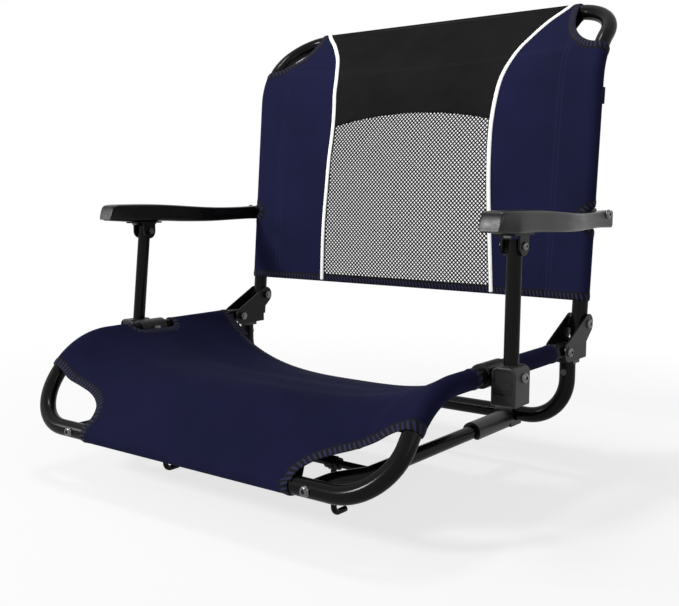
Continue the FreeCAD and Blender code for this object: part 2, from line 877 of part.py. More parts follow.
def runner_foot():
    """Moulded tee: a collar on the runner's end and a cradle on the rear leg's cross run."""
    axis = vec(runner_offset, foot_front_reach, runner_height)
    collar = rod(axis, vec(runner_offset, leg_y, runner_height), foot_radius)
    cross = (leg_y, cross_height)
    outside = tube_radius + foot_wall
    cradle = across(cross, runner_offset - foot_radius, runner_offset + foot_radius, outside)
    under = block(
        vec(runner_offset - foot_radius, leg_y - outside, 0),
        vec(runner_offset + foot_radius, leg_y + outside, cross_height),
    )
    shape = collar.fuse([cradle, under])
    shape = shape.common(block(vec(0, 0, 0), vec(far, far, far)))
    bore_end = vec(runner_offset, runner_rear_reach + side_play, runner_height)
    shape = shape.cut(rod(axis, bore_end, runner_tube_diameter / 2 + running_gap))
    slot = block(
        vec(runner_offset - foot_slot_width / 2, foot_front_reach, 0),
        vec(runner_offset + foot_slot_width / 2, runner_rear_reach + side_play, runner_height),
    )
    shape = shape.cut(slot)
    bore = across(cross, 0, far, tube_radius + running_gap)
    seat = foot_screw_recess + foot_screw_head_height
    recess = foot_screw_line(foot_screw_head_radius + running_gap, 0, seat)
    shank = foot_screw_line(foot_screw_radius + running_gap, 0, cross_height)
    return shape.cut(bore).cut(recess).cut(shank)


def foot_screws():
    seat = foot_screw_recess + foot_screw_head_height
    head = foot_screw_line(foot_screw_head_radius, foot_screw_recess, seat)
    shank = foot_screw_line(foot_screw_radius, seat, seat + foot_screw_length)
    return pair(head.fuse(shank))


def hook_bar():
    end = runner_offset - runner_tube_diameter / 2 + hook_bar_inset
    return across(hook_bar_place(), -end, end, hook_bar_diameter / 2)


def hook_collars():
    """Rings that keep each hook in its place along the bar."""
    bar = hook_bar_diameter / 2
    collars = []
    for side in (1, -1):
        near = hook_offset + side * (hook_rod_diameter / 2 + collar_gap)
        low, high = sorted((near, near + side * collar_length))
        collars.append(ring(hook_bar_place(), low, high, bar + collar_wall, bar))
    return Part.makeCompound(collars + [mirrored(collar) for collar in collars])


def hook():
    """Bent rod with an eye round the bar and a tip that goes back under the bench."""
    place = hook_bar_place()
    half = hook_rod_diameter / 2
    bore = hook_bar_diameter / 2 + running_gap
    eye = across(place, hook_offset - half, hook_offset + half, bore + hook_eye_wall)
    low = half - hook_drop
    path = rounded_path(
        [
            vec(hook_offset, hook_y, runner_height - bore - hook_eye_wall / 3),
            vec(hook_offset, hook_y, low),
            vec(hook_offset, hook_tip_length, low),
        ],
        [hook_bend_radius],
    )
    return eye.fuse(sweep(path, half)).cut(across(place, 0, far, bore))


# Seat sling
def seat_section(y, z, degrees, sag):
    """Closed loop across the seat: the cloth sags between the rails along their normal."""
    angle = math.radians(degrees)
    normal = vec(0, -math.sin(angle), math.cos(angle))
    edge = vec(0, y, z) + normal * (sleeve_bore + sleeve_overlap)
    side = vec(rail_offset, 0, 0)
    middle = edge - normal * sag
    down = normal * sheet_thickness
    top = Part.Arc(edge - side, middle, edge + side).toShape()
    right = Part.LineSegment(edge + side, edge + side - down).toShape()
    bottom = Part.Arc(edge + side - down, middle - down, edge - side - down).toShape()
    left = Part.LineSegment(edge - side - down, edge - side).toShape()
    return Part.Wire([top, right, bottom, left])


def seat_pan():
    """Cloth from the front run up the slope, over the knees and back between the rails."""
    radius = seat_path[1].Curve.Radius
    bend_y = knee_y + radius * math.tan(slope / 2)
    bend_z = rail_height - radius
    sections = [
        seat_section(front_y, front_height, front_slope, sheet_thickness),
        seat_section(*polar((bend_y, bend_z), radius, 90 + front_slope), front_slope, seat_sag_slope),
        seat_section(*polar((bend_y, bend_z), radius, 90 + front_slope / 2), front_slope / 2, seat_sag_knee),
        seat_section(bend_y, rail_height, 0, seat_sag_rail),
        seat_section(seat_middle_length, rail_height, 0, seat_sag_middle),
        seat_section(seat_rear_edge_length, rail_height, 0, seat_sag_rear),
    ]
    return Part.makeLoft(sections, True, True)


def seat_corner_cut():
    """Oval cut that bares the tube at a front corner."""
    corner = vec(rail_offset, front_y, front_height)
    up = vec(0, math.cos(slope), math.sin(slope))
    normal = vec(0, -math.sin(slope), math.cos(slope))
    wide = corner + vec(seat_corner_cut_side, 0, 0)
    high = corner + up * seat_corner_cut_up
    oval = Part.Wire(Part.Ellipse(wide, high, corner).toShape())
    reach = seat_corner_cut_side / 2
    oval.translate(normal * -reach)
    return Part.Face(oval).extrude(normal * 2 * reach)


def seat_sling():
    sleeves = sweep(seat_path, sleeve_outside)
    behind = block(vec(-far, seat_sleeve_end, 0), vec(far, far, far))
    shape = seat_pan().fuse(sleeves).cut(sweep(seat_path, sleeve_bore)).cut(behind)
    half = clamp_length / 2 + seat_notch_margin
    notch = block(
        vec(rail_offset - seat_notch_depth, post_pivot[0] - half, rail_height / 2),
        vec(far, post_pivot[0] + half, far),
    )
    for cut in (notch, seat_corner_cut()):
        shape = shape.cut(cut).cut(mirrored(cut))
    return shape


# Back cloth
def back_strip(behind, ahead):
    """Strip of cloth over the front of the back frame, from its lower edge to the top run."""
    middle = (knee_start + knee_end) / 2

    def at(length, off):
        return vec(-rail_offset, *on_back(length, off))

    face = closed_face(
        at(back_edge_length, ahead),
        at(knee_start, ahead),
        (at(middle, ahead), at(knee_end, ahead)),
        at(top_length, ahead),
        at(top_length, behind),
        at(knee_end, behind),
        (at(middle, behind), at(knee_start, behind)),
        at(back_edge_length, behind),
    )
    return face.extrude(vec(2 * rail_offset, 0, 0))


cloth_front = sleeve_bore + sleeve_overlap / 4
cloth_back = cloth_front - sheet_thickness


def height_at(length):
    """Height of the cloth at a length up the back."""
    return on_back(length, cloth_front)[1]


def seam(shift):
    """Steps up the right seam, moved sideways: a straight part to the waist, then an arc outwards."""
    top = back_pivot[1] + top_rise + 2 * frame_tube_diameter
    foot = vec(seam_bottom + shift, 0, height_at(back_edge_length))
    waist = vec(seam_waist + shift, 0, height_at(waist_length))
    shoulder = vec(seam_shoulder + shift, 0, height_at(shoulder_length))
    head = vec(seam_top + shift, 0, height_at(top_length))
    return foot, waist, shoulder, head, vec(seam_top + shift, 0, top)


def depth(face):
    """A region of the front view, carried through the whole depth of the back."""
    return face.extrude(vec(0, far, 0))


def below(point):
    """The foot of a seam, carried down past the cloth's lower edge."""
    return vec(point.x, 0, 0)


def side_region():
    foot, waist, shoulder, head, top = seam(piping_width / 2)
    right = rail_offset + 2 * frame_tube_diameter
    corners = [vec(right, 0, top.z), vec(right, 0, 0)]
    return depth(closed_face(below(foot), foot, waist, (shoulder, head), top, *corners))


def piping_region():
    inner = seam(-piping_width / 2)
    outer = seam(piping_width / 2)
    return depth(
        closed_face(
            below(inner[0]),
            inner[0],
            inner[1],
            (inner[2], inner[3]),
            inner[4],
            outer[4],
            outer[3],
            (outer[2], outer[1]),
            outer[0],
            below(outer[0]),
        )
    )


def flipped(point):
    return vec(-point.x, point.y, point.z)


def top_region():
    _, waist, shoulder, head, top = seam(-piping_width / 2)
    crown = vec(0, 0, height_at(waist_length + mesh_crown))
    return depth(
        closed_face(
            waist,
            (shoulder, head),
            top,
            flipped(top),
            flipped(head),
            (flipped(shoulder), flipped(waist)),
            (crown, waist),
        )
    )


def back_cloth():
    """Sheet and sleeves over the whole back, before it is split at the seams."""
    strip = back_strip(cloth_back, cloth_front)
    sleeves = sweep(back_path, sleeve_outside)
    return strip.fuse(sleeves).cut(sweep(back_path, sleeve_bore))


def above_edge():
    """Everything over the back's lower edge."""
    low = vec(0, *along_back(back_edge_length))
    face = closed_face(
        vec(-far, *on_back(back_edge_length, -far / 2)),
        vec(far, *on_back(back_edge_length, -far / 2)),
        vec(far, *on_back(back_edge_length, far / 2)),
        vec(-far, *on_back(back_edge_length, far / 2)),
    )
    return face.extrude(vec(0, upright[0], upright[1]) * (far - low.z))


def back_panel():
    """Right side panel: sheet and upright sleeve, cut clear at the corner, armrest and bracket."""
    shape = back_cloth().common(side_region()).common(above_edge())
    corner = rod(vec(rail_offset, 0, top_place[1]), vec(rail_offset, far, top_place[1]), back_corner_cut)
    notch = block(
        vec(rail_offset - back_notch_depth, 0, arm_pivot[1] - back_notch_below),
        vec(far, far, arm_pivot[1] + back_notch_above),
    )
    relief = block(
        vec(rail_offset - cheek_face - swing_gap, 0, 0),
        vec(rail_offset - sleeve_outside + swing_gap, far, along_back(back_edge_length + cheek_relief)[1]),
    )
    return shape.cut(corner).cut(notch).cut(relief)


def back_panel_top():
    return back_cloth().common(top_region())


def back_piping():
    strip = back_strip(cloth_back, cloth_front + piping_proud)
    return strip.common(piping_region()).cut(sweep(back_path, sleeve_bore))


def on_net(x, length):
    """Point of the net's rear face, which lies straight up the uprights' front."""
    y, z = along_back(length)
    return vec(x, y - cloth_back * upright[1], z + cloth_back * upright[0])


def net_gap(x, length):
    """One diamond gap of the net, as a closed wire."""
    half = net_pitch / 2 - net_strand_width / math.sqrt(2)
    corners = [(x, length - half), (x + half, length), (x, length + half), (x - half, length)]
    points = [on_net(*corner) for corner in corners]
    return Part.makePolygon(points + points[:1])


def seam_at(length):
    """Half width of the net at a length up the back."""
    share = (length - back_edge_length) / (waist_length - back_edge_length)
    return seam_bottom + (seam_waist - seam_bottom) * share - piping_width / 2 - seam_gap


def back_mesh():
    """Open net between the seams: one holed face, extruded."""
    waist = seam_at(waist_length)
    foot = seam_at(back_edge_length)
    outline = closed_face(
        on_net(-foot, back_edge_length),
        on_net(foot, back_edge_length),
        on_net(waist, waist_length),
        (on_net(0, waist_length + mesh_crown), on_net(-waist, waist_length)),
    )
    gaps = []
    rows = int(2 * (waist_length + mesh_crown - back_edge_length) / net_pitch)
    columns = int(2 * seam_bottom / net_pitch)
    for row in range(1, rows):
        length = back_edge_length + net_margin + row * net_pitch / 2
        for column in range(-columns, columns + 1):
            x = column * net_pitch / 2
            inside = seam_at(min(length, waist_length)) - net_margin - net_pitch / 2
            arch = mesh_crown * (1 - (x / waist) ** 2)
            lid = waist_length + arch - net_margin - net_pitch / 2
            if (row + column) % 2 == 0 and abs(x) <= inside and length <= lid:
                gaps.append(net_gap(x, length))
    face = Part.makeFace([outline.OuterWire] + gaps, "Part::FaceMakerBullseye")
    ahead = vec(0, -upright[1], upright[0])
    print("net gaps", len(gaps))
    return face.extrude(ahead * sheet_thickness)


def back_side_tab():
    """Small sewn loop that stands out behind the right sleeve."""
    offset = sleeve_outside / math.sqrt(2)
    near = -offset - seam_gap
    low = tab_length - tab_height / 2
    high = low + tab_height
    rim = near - tab_reach
    corners = [(low, near), (low, rim), (high, rim), (high, near)]
    points = [vec(rail_offset + offset, *on_back(length, ahead)) for length, ahead in corners]
    return closed_face(points[0], *points[1:]).extrude(vec(tab_cloth_thickness, 0, 0))


def build():
    right = {
        "runner_tube": runner_tube_shape(),
        "runner_foot": runner_foot(),
        "hinge_bracket": hinge_bracket(),
        "rail_clamp": rail_clamp(),
        "post_tube": post_tube_shape(),
        "post_socket": post_socket(),
        "armrest": armrest(),
        "arm_clevis": arm_clevis(),
        "clevis_bolt": clevis_bolt(),
        "clevis_nut": clevis_nut(),
        "clevis_screws": clevis_screws(),
        "hook": hook(),
        "back_panel": back_panel(),
        "back_piping": back_piping(),
    }
    nodes = {
        "seat_frame_tube": seat_frame_tube(),
        "rail_end_plugs": rail_end_plugs(),
        "rear_leg_tube": rear_leg_tube(),
        "leg_top_plugs": leg_top_plugs(),
        "leg_rivets": leg_rivets(),
        "rail_bolts": cheek_bolts(rail_bolt),
        "rail_bolt_nuts": cheek_nuts(rail_bolt),
        "rail_bolt_washers": cheek_washers(rail_bolt),
        "back_pivot_bolts": cheek_bolts(back_pivot),
        "back_pivot_nuts": cheek_nuts(back_pivot),
        "back_pivot_washers": cheek_washers(back_pivot),
        "back_stop_pins": back_stop_pins(),
        "post_pivot_bolts": post_pivot_bolts(),
        "post_pivot_nuts": post_pivot_nuts(),
        "runner_end_inserts": runner_end_inserts(),
        "front_runner_bolts": front_runner_bolts(),
        "foot_screws": foot_screws(),
        "hook_bar": hook_bar(),
        "hook_collars": hook_collars(),
        "seat_sling": seat_sling(),
        "back_frame_tube": back_frame_tube(),
        "back_end_plugs": back_end_plugs(),
        "arm_pivot_bolts": arm_pivot_bolts(),
        "arm_pivot_nuts": arm_pivot_nuts(),
        "arm_pivot_spacers": arm_pivot_spacers(),
        "back_panel_top": back_panel_top(),
        "back_mesh": back_mesh(),
        "back_side_tab": back_side_tab(),
    }
    for name, shape in right.items():
        nodes[name + "_right"] = shape
        nodes[name + "_left"] = mirrored(shape)
    return nodes


os.makedirs("parts", exist_ok=True)
for name, shape in build().items():
    print(name, len(shape.Solids), round(shape.Volume, 1), shape.isValid())
    shape.exportStep("parts/" + name + ".step")
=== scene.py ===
# %% [markdown]
# # A folding stadium seat
# The seat is a black tube frame with a navy sling, a navy and black back with an open net, two plastic armrests on
# a parallel linkage, and hooks that hold it on a bench. The frame, brackets, bolts, feet and hooks come ready made
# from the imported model. This lesson dresses them: it gives each a finish, and replaces the plain cloth solids by
# sewn cloth with sleeves, bound edges, piping and a real net.

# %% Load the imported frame
import math

import bpy
import numpy as np
from mathutils.geometry import delaunay_2d_cdt
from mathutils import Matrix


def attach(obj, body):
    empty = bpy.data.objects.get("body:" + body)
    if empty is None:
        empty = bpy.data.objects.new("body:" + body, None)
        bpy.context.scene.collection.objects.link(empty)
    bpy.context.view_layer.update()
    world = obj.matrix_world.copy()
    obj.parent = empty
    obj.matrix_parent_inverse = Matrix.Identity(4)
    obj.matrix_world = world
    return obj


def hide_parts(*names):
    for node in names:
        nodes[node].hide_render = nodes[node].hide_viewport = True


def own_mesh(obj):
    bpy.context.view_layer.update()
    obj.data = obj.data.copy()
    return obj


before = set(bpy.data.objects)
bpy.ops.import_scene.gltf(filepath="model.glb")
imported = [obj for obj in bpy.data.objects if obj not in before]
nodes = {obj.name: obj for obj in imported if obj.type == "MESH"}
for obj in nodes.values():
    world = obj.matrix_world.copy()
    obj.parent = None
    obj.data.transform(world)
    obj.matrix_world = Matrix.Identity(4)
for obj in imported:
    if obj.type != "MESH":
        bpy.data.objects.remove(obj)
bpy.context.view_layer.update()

# %% [markdown]
# ## Camera
# The photograph was taken from the right, a little above the armrests, with a normal lens. Its place, turn and
# focal length were worked out from the frame's known corners, so the picture can be laid over the photograph.

# %% Camera at the photograph's place
scene = bpy.context.scene
scene.view_settings.view_transform = "Standard"
eye = bpy.data.cameras.new("photo_camera")
eye.sensor_width = 36.0
eye.lens = 49.694
camera = bpy.data.objects.new("photo_camera", eye)
camera.location = (0.72092, -0.76217, 0.29422)
camera.rotation_euler = (math.radians(90 - 6.923), 0, math.radians(37.497))
scene.collection.objects.link(camera)
scene.camera = camera
print("camera:", tuple(round(v, 3) for v in camera.location), "lens", eye.lens)

# %% [markdown]
# ## Small tools
# A shape here is a formula: a function takes whole arrays of flat cloth places in millimetres and gives points in
# space. One helper turns arrays into a mesh, with the flat places kept as the UV map, in metres, so that weave and
# stitches follow the cloth. Another adds one material node with its settings and links.


# %% Mesh and material helpers
def as_mesh(name, points, faces, uv, material, slot, body, thickness=0.0, crisp=False):
    """A piece from points in mm, faces of equal length and one flat place in mm for each point. A crisp sheet keeps
    its faces and its cut edges apart in the shading, so that two sheets side by side look like one."""
    mesh = bpy.data.meshes.new(name)
    mesh.from_pydata((points * 0.001).tolist(), [], faces.tolist())
    layer = mesh.uv_layers.new(name="flat")
    corners = np.zeros(len(mesh.loops), np.int32)
    mesh.loops.foreach_get("vertex_index", corners)
    layer.data.foreach_set("uv", (uv[corners] * 0.001).astype(np.float32).ravel())
    mesh.polygons.foreach_set("use_smooth", np.ones(len(mesh.polygons), bool))
    mesh.materials.append(material)
    piece = bpy.data.objects.new(name, mesh)
    scene.collection.objects.link(piece)
    if thickness:
        wall = piece.modifiers.new("cloth", "SOLIDIFY")
        wall.thickness = thickness * 0.001
        wall.offset = 0.0
    if crisp:
        thick = bpy.data.meshes.new_from_object(piece.evaluated_get(bpy.context.evaluated_depsgraph_get()))
        thick.set_sharp_from_angle(angle=math.radians(60))
        piece.modifiers.clear()
        piece.data = thick
    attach(piece, body)
    print(name, "faces", len(faces))
    return piece


def grid_faces(rows, columns, ring=False):
    """Quads between neighbours on a grid of points. A ring joins the last column to the first."""
    row = np.arange(rows - 1)[:, None]
    column = np.arange(columns if ring else columns - 1)[None, :]
    after = (column + 1) % columns
    quads = [row * columns + column, row * columns + after]
    quads += [(row + 1) * columns + after, (row + 1) * columns + column]
    return np.stack([np.broadcast_to(q, (rows - 1, column.size)) for q in quads], -1).reshape(-1, 4)


def smooth(places, values):
    """A smooth curve through values at places: cubic pieces whose slopes are those of the chords around."""
    places, values = np.asarray(places, float), np.asarray(values, float)
    slopes = np.gradient(values, places)

    def at(x):
        x = np.clip(x, places[0], places[-1])
        k = np.clip(np.searchsorted(places, x) - 1, 0, len(places) - 2)
        span = places[k + 1] - places[k]
        f = (x - places[k]) / span
        low = values[k] * (1 + 2 * f) * (1 - f) ** 2 + values[k + 1] * f * f * (3 - 2 * f)
        return low + span * (slopes[k] * f * (1 - f) ** 2 - slopes[k + 1] * f * f * (1 - f))

    return at


def linear(code):
    """An sRGB hex colour as linear RGBA."""
    channel = np.array([int(code[i:i + 2], 16) for i in (1, 3, 5)]) / 255
    low = channel / 12.92
    high = ((channel + 0.055) / 1.055) ** 2.4
    return (*np.where(channel <= 0.04045, low, high).tolist(), 1.0)


def per(millimetres):
    """Texture scale at which one repeat is that long, on coordinates in metres."""
    return 1000.0 / millimetres


def put(material, kind, inputs=(), **settings):
    """Adds one node. Settings are its own properties. Inputs are its sockets, set to values or linked to outputs."""
    node = material.node_tree.nodes.new(kind)
    for name, value in settings.items():
        setattr(node, name, value)
    for name, value in dict(inputs).items():
        if isinstance(value, bpy.types.NodeSocket):
            material.node_tree.links.new(value, node.inputs[name])
        else:
            node.inputs[name].default_value = value
    return node


def new_material(name):
    """An empty node material with its output, and the shader that feeds it."""
    material = bpy.data.materials.new(name)
    material.use_nodes = True
    material.node_tree.nodes.clear()
    shader = put(material, "ShaderNodeBsdfPrincipled")
    put(material, "ShaderNodeOutputMaterial", {"Surface": shader.outputs["BSDF"]})
    return material, shader


# %% [markdown]
# ## Hard finishes
# The tubes are powder-coated steel: a thick black coat with a soft gloss and the faint orange peel of powder that
# flowed in an oven. The brackets are thinner coated plate. Clamps, sockets and feet are moulded nylon, dull, with
# the fine grain of a spark-eroded mould. The bolts are zinc-plated. Each finish reads Object coordinates, because
# hard pieces keep their shape.


# %% Powder coat, plate, nylon, plated bolts
def grained(name, colour, dark, rough, grain, bump, specular, skin=0.0, drawn=1.0, metal=0.0):
    """A hard finish: two close shades in soft clouds, a roughness that wanders, a fine grain and a glossy skin.
    The clouds can be drawn out along Y, the way that a moulding's material flowed."""
    material, shader = new_material(name)
    place = put(material, "ShaderNodeTexCoord").outputs["Object"]
    flow = put(material, "ShaderNodeVectorMath", {0: place, 1: (1, 1 / drawn, 1)}, operation="MULTIPLY").outputs[0]
    cloud = put(material, "ShaderNodeTexNoise", {"Vector": flow, "Scale": per(45 / drawn), "Detail": 3.0})
    tone = put(material, "ShaderNodeMix", data_type="RGBA")
    material.node_tree.links.new(cloud.outputs["Fac"], tone.inputs["Factor"])
    tone.inputs[6].default_value = linear(dark)
    tone.inputs[7].default_value = linear(colour)
    material.node_tree.links.new(tone.outputs[2], shader.inputs["Base Color"])
    wander = put(material, "ShaderNodeMapRange", {"Value": cloud.outputs["Fac"], "From Min": 0.3, "From Max": 0.7,
                                                  "To Min": rough - 0.05, "To Max": rough + 0.05})
    material.node_tree.links.new(wander.outputs["Result"], shader.inputs["Roughness"])
    fine = put(material, "ShaderNodeTexNoise", {"Vector": place, "Scale": per(grain), "Detail": 2.0})
    relief = put(material, "ShaderNodeBump", {"Height": fine.outputs["Fac"], "Strength": bump, "Distance": 0.0004})
    material.node_tree.links.new(relief.outputs["Normal"], shader.inputs["Normal"])
    shader.inputs["Specular IOR Level"].default_value = specular
    shader.inputs["Metallic"].default_value = metal
    shader.inputs["Coat Weight"].default_value = skin
    shader.inputs["Coat Roughness"].default_value = 0.14
    return material


powder_coat = grained("black_powder_coated_steel", "#0b0b0c", "#070708", 0.3, 1.6, 0.01, 0.02, skin=0.16)
coated_plate = grained("black_coated_steel_plate", "#0d0d0d", "#080808", 0.4, 1.2, 0.12, 0.1, skin=0.06)
moulded_nylon = grained("black_moulded_nylon", "#202021", "#161617", 0.4, 1.0, 0.16, 0.25)
arm_plastic = grained("dark_moulded_polypropylene", "#151514", "#070706", 0.31, 1.2, 0.1, 0.2, drawn=6.0)
plated_bolt = grained("zinc_plated_steel", "#707073", "#545457", 0.2, 0.9, 0.03, 0.5, metal=1.0)
clear_nylon = grained("grey_nylon_washer", "#3b3b3a", "#2f2f2f", 0.5, 1.0, 0.05, 0.2)
print("hard finishes:", len(bpy.data.materials))

# %% Which finish each ready-made piece gets
finish_of = {
    "frame_tube": powder_coat, "leg_tube": powder_coat, "post_tube": powder_coat, "runner_tube": powder_coat,
    "hinge_bracket": coated_plate, "arm_clevis": coated_plate, "stop_pins": coated_plate, "hook": powder_coat,
    "plugs": moulded_nylon, "clamp": moulded_nylon, "socket": moulded_nylon, "runner_foot": moulded_nylon,
    "bolt": plated_bolt, "nut": plated_bolt, "screw": plated_bolt, "rivet": plated_bolt, "insert": plated_bolt,
    "washer": clear_nylon, "spacer": moulded_nylon, "armrest": arm_plastic,
}
for name, node in nodes.items():
    chosen = [finish for word, finish in finish_of.items() if word in name]
    if chosen:
        node.data.materials.clear()
        node.data.materials.append(chosen[-1])
print("dressed:", sum(1 for node in nodes.values() if node.data.materials and node.data.materials[0].name in
                      {m.name for m in finish_of.values()}))

# %% [markdown]
# ## Cloth finishes
# The sling and the back's side panels are navy polyester canvas, and the middle panel is the same cloth in black. The
# sling's copy is coloured a shade darker, as painted shade.
# The real threads are about 0.4 mm apart, too fine for this picture, so the weave is drawn at 1.5 mm. Colour and
# weave read the flat UV map, so they bend with the cloth. Lines of stitching are drawn where hems are sewn down.


# %% Canvas, binding, piping and net
def canvas(name, colour, light, thread="", across=(), along=()):
    """Woven cloth: crossed thread waves for the bump, soft clouds of two shades, and rows of stitches 3 mm long at
    distances across from the middle and at lengths along the cloth."""
    material, shader = new_material(name)
    links = material.node_tree.links
    place = put(material, "ShaderNodeUVMap", uv_map="flat").outputs["UV"]
    warp = put(material, "ShaderNodeTexWave", {"Vector": place, "Scale": per(1.5) * math.tau / 20}, bands_direction="X")
    weft = put(material, "ShaderNodeTexWave", {"Vector": place, "Scale": per(1.5) * math.tau / 20}, bands_direction="Y")
    weave = put(material, "ShaderNodeMath", {0: warp.outputs["Fac"], 1: weft.outputs["Fac"]}, operation="MULTIPLY")
    cloud = put(material, "ShaderNodeTexNoise", {"Vector": place, "Scale": per(90), "Detail": 4.0, "Roughness": 0.6})
    shade = put(material, "ShaderNodeMapRange", {"Value": cloud.outputs["Fac"], "From Min": 0.3, "From Max": 0.7})
    tone = put(material, "ShaderNodeMix", data_type="RGBA")
    links.new(shade.outputs["Result"], tone.inputs["Factor"])
    tone.inputs[6].default_value = linear(colour)
    tone.inputs[7].default_value = linear(light)
    seen = tone.outputs[2]
    apart = put(material, "ShaderNodeSeparateXYZ", {"Vector": place})
    aside = put(material, "ShaderNodeMath", {0: apart.outputs["X"]}, operation="ABSOLUTE").outputs[0]
    rows = [(aside, apart.outputs["Y"], far) for far in across]
    rows += [(apart.outputs["Y"], apart.outputs["X"], far) for far in along]
    for off, run, far in rows:
        step = put(material, "ShaderNodeMath", {0: run, 1: 0.0042}, operation="FLOORED_MODULO").outputs[0]
        dash = put(material, "ShaderNodeMath", {0: step, 1: 0.003}, operation="LESS_THAN").outputs[0]
        near = put(material, "ShaderNodeMath", {0: off, 1: far * 0.001, 2: 0.0005}, operation="COMPARE").outputs[0]
        sewn = put(material, "ShaderNodeMath", {0: dash, 1: near}, operation="MULTIPLY").outputs[0]
        over = put(material, "ShaderNodeMix", data_type="RGBA")
        links.new(sewn, over.inputs["Factor"])
        links.new(seen, over.inputs[6])
        over.inputs[7].default_value = linear(thread)
        seen = over.outputs[2]
    links.new(seen, shader.inputs["Base Color"])
    relief = put(material, "ShaderNodeBump", {"Height": weave.outputs[0], "Strength": 0.25, "Distance": 0.0003})
    links.new(relief.outputs["Normal"], shader.inputs["Normal"])
    shader.inputs["Roughness"].default_value = 0.8
    shader.inputs["Specular IOR Level"].default_value = 0.02
    return material


def bound(name, colour, thread, pitch):
    """Overlocked edge: cloth that swells between thread bars, by waves along the edge, which is the UV's first way."""
    material, shader = new_material(name)
    links = material.node_tree.links
    place = put(material, "ShaderNodeUVMap", uv_map="flat").outputs["UV"]
    apart = put(material, "ShaderNodeSeparateXYZ", {"Vector": place})
    slant = put(material, "ShaderNodeMath", {0: apart.outputs["Y"], 1: 0.3, 2: apart.outputs["X"]},
                operation="MULTIPLY_ADD").outputs[0]
    turn = put(material, "ShaderNodeMath", {0: slant, 1: math.tau * per(pitch)}, operation="MULTIPLY")
    wave = put(material, "ShaderNodeMath", {0: turn.outputs[0]}, operation="COSINE")
    bar = put(material, "ShaderNodeMapRange", {"Value": wave.outputs[0], "From Min": 0.0, "From Max": 0.55})
    inner = put(material, "ShaderNodeMath", {0: apart.outputs["Y"]}, operation="ABSOLUTE")
    chain = put(material, "ShaderNodeMapRange", {"Value": inner.outputs[0], "From Min": 0.0062, "From Max": 0.0075,
                                                 "To Min": 1.0, "To Max": 0.0})
    show = put(material, "ShaderNodeMath", {0: bar.outputs["Result"], 1: chain.outputs["Result"]}, operation="MULTIPLY")
    tone = put(material, "ShaderNodeMix", data_type="RGBA")
    links.new(show.outputs[0], tone.inputs["Factor"])
    tone.inputs[6].default_value = linear(thread)
    tone.inputs[7].default_value = linear(colour)
    links.new(tone.outputs[2], shader.inputs["Base Color"])
    shader.inputs["Roughness"].default_value = 0.7
    shader.inputs["Specular IOR Level"].default_value = 0.1
    return material


# The seat's copy of the navy canvas is darker than the back's, though both are one cloth: painted shade.
seat_canvas_with_painted_shade = canvas("navy_polyester_canvas_of_the_seat_darkened_as_painted_shade", "#14152b", "#191935", "#1d1d3a", [214.5, 220.5])
navy_canvas = canvas("navy_polyester_canvas_of_the_back", "#191a32", "#1d1e3c", "#242542", [214.5, 220.5], [338, 342.5])
black_canvas = canvas("black_polyester_canvas", "#161617", "#1d1d1d", "#252526", [], [338, 342.5])
net_yarn = canvas("black_knitted_net_yarn", "#0a0a0b", "#0e0e0f")
white_piping = canvas("white_piping_tape", "#ffffff", "#ffffff")
dark_strip_by_piping = canvas("black_strip_by_piping", "#050506", "#080809")
navy_binding = bound("navy_overlocked_edge", "#22233f", "#040407", 5.2)
print("cloth finishes ready")

# %% [markdown]
# ## How a sleeve wraps a tube
# The cloth is one sheet. At a tube it comes off the sheet at a tangent, goes round the tube and is sewn back down
# under itself about 45 mm away, which makes a sleeve. In section that is a curve, an arc and a straight line, so the
# flat sheet can be carried to its place by a formula for any place on it. The same section serves the seat, where
# the sheet sags, and the back, where it bows to the rear.

# %% The shared section
rail = 262.5          # tubes' distance from the middle
wrap = 10.3           # radius of the cloth's middle layer round a tube
free = 256.0          # flat half width of the open sheet
round_it = 43.0       # flat length that goes round a tube
under = 38.0          # flat length of the part that is sewn back
hem = 217.5           # where the hem's stitches are
span = 258.0          # half width that the sheet's slope at its edge is reckoned over
half_flat = free + round_it + under


def section(flat, sag, power):
    """Across the cloth: (sideways, ahead of the tubes) for a flat place and the sag in the middle.
    The sheet is r cos a - sag (1 - |x / edge|^power), with a the slope at its edge, less a small groove at the hem's
    stitches. Then it follows the tube's circle, and last a straight line back to the hem."""
    side = np.sign(flat)
    reach = np.abs(flat)
    slope = np.arctan(sag * power / span)
    edge = rail - wrap * np.sin(slope)

    def sheet(x):
        return wrap * np.cos(slope) - sag * (1 - (x / edge) ** power) - 0.7 * np.exp(-((x - hem) / 2.2) ** 2)

    hem_ahead = sheet(hem) - 1.3
    away = np.hypot(rail - hem, hem_ahead)
    tilt = np.arctan2(hem_ahead, rail - hem)
    end = 1.5 * math.pi - tilt + np.pi / 2 - np.arcsin(wrap / away) - np.pi / 2
    x = edge * np.minimum(reach, free) / free
    ahead = sheet(x)
    turn = -slope + (end + slope) * np.clip((reach - free) / round_it, 0, 1)
    on_tube = reach > free
    x = np.where(on_tube, rail + wrap * np.sin(turn), x)
    ahead = np.where(on_tube, wrap * np.cos(turn), ahead)
    share = np.clip((reach - free - round_it) / under, 0, 1)
    x = x + share * (hem - x) * (share > 0)
    ahead = ahead + share * (hem_ahead - ahead) * (share > 0)
    return side * x, ahead


print("flat half width of a cloth with sleeves:", half_flat)

# %% [markdown]
# ## Place on the seat
# Along the seat the cloth follows the rails: up the slope, over the knee and level to the rear. It sags more towards
# the rear, where nothing crosses under it. At the front it turns round the front run, which is another sleeve.

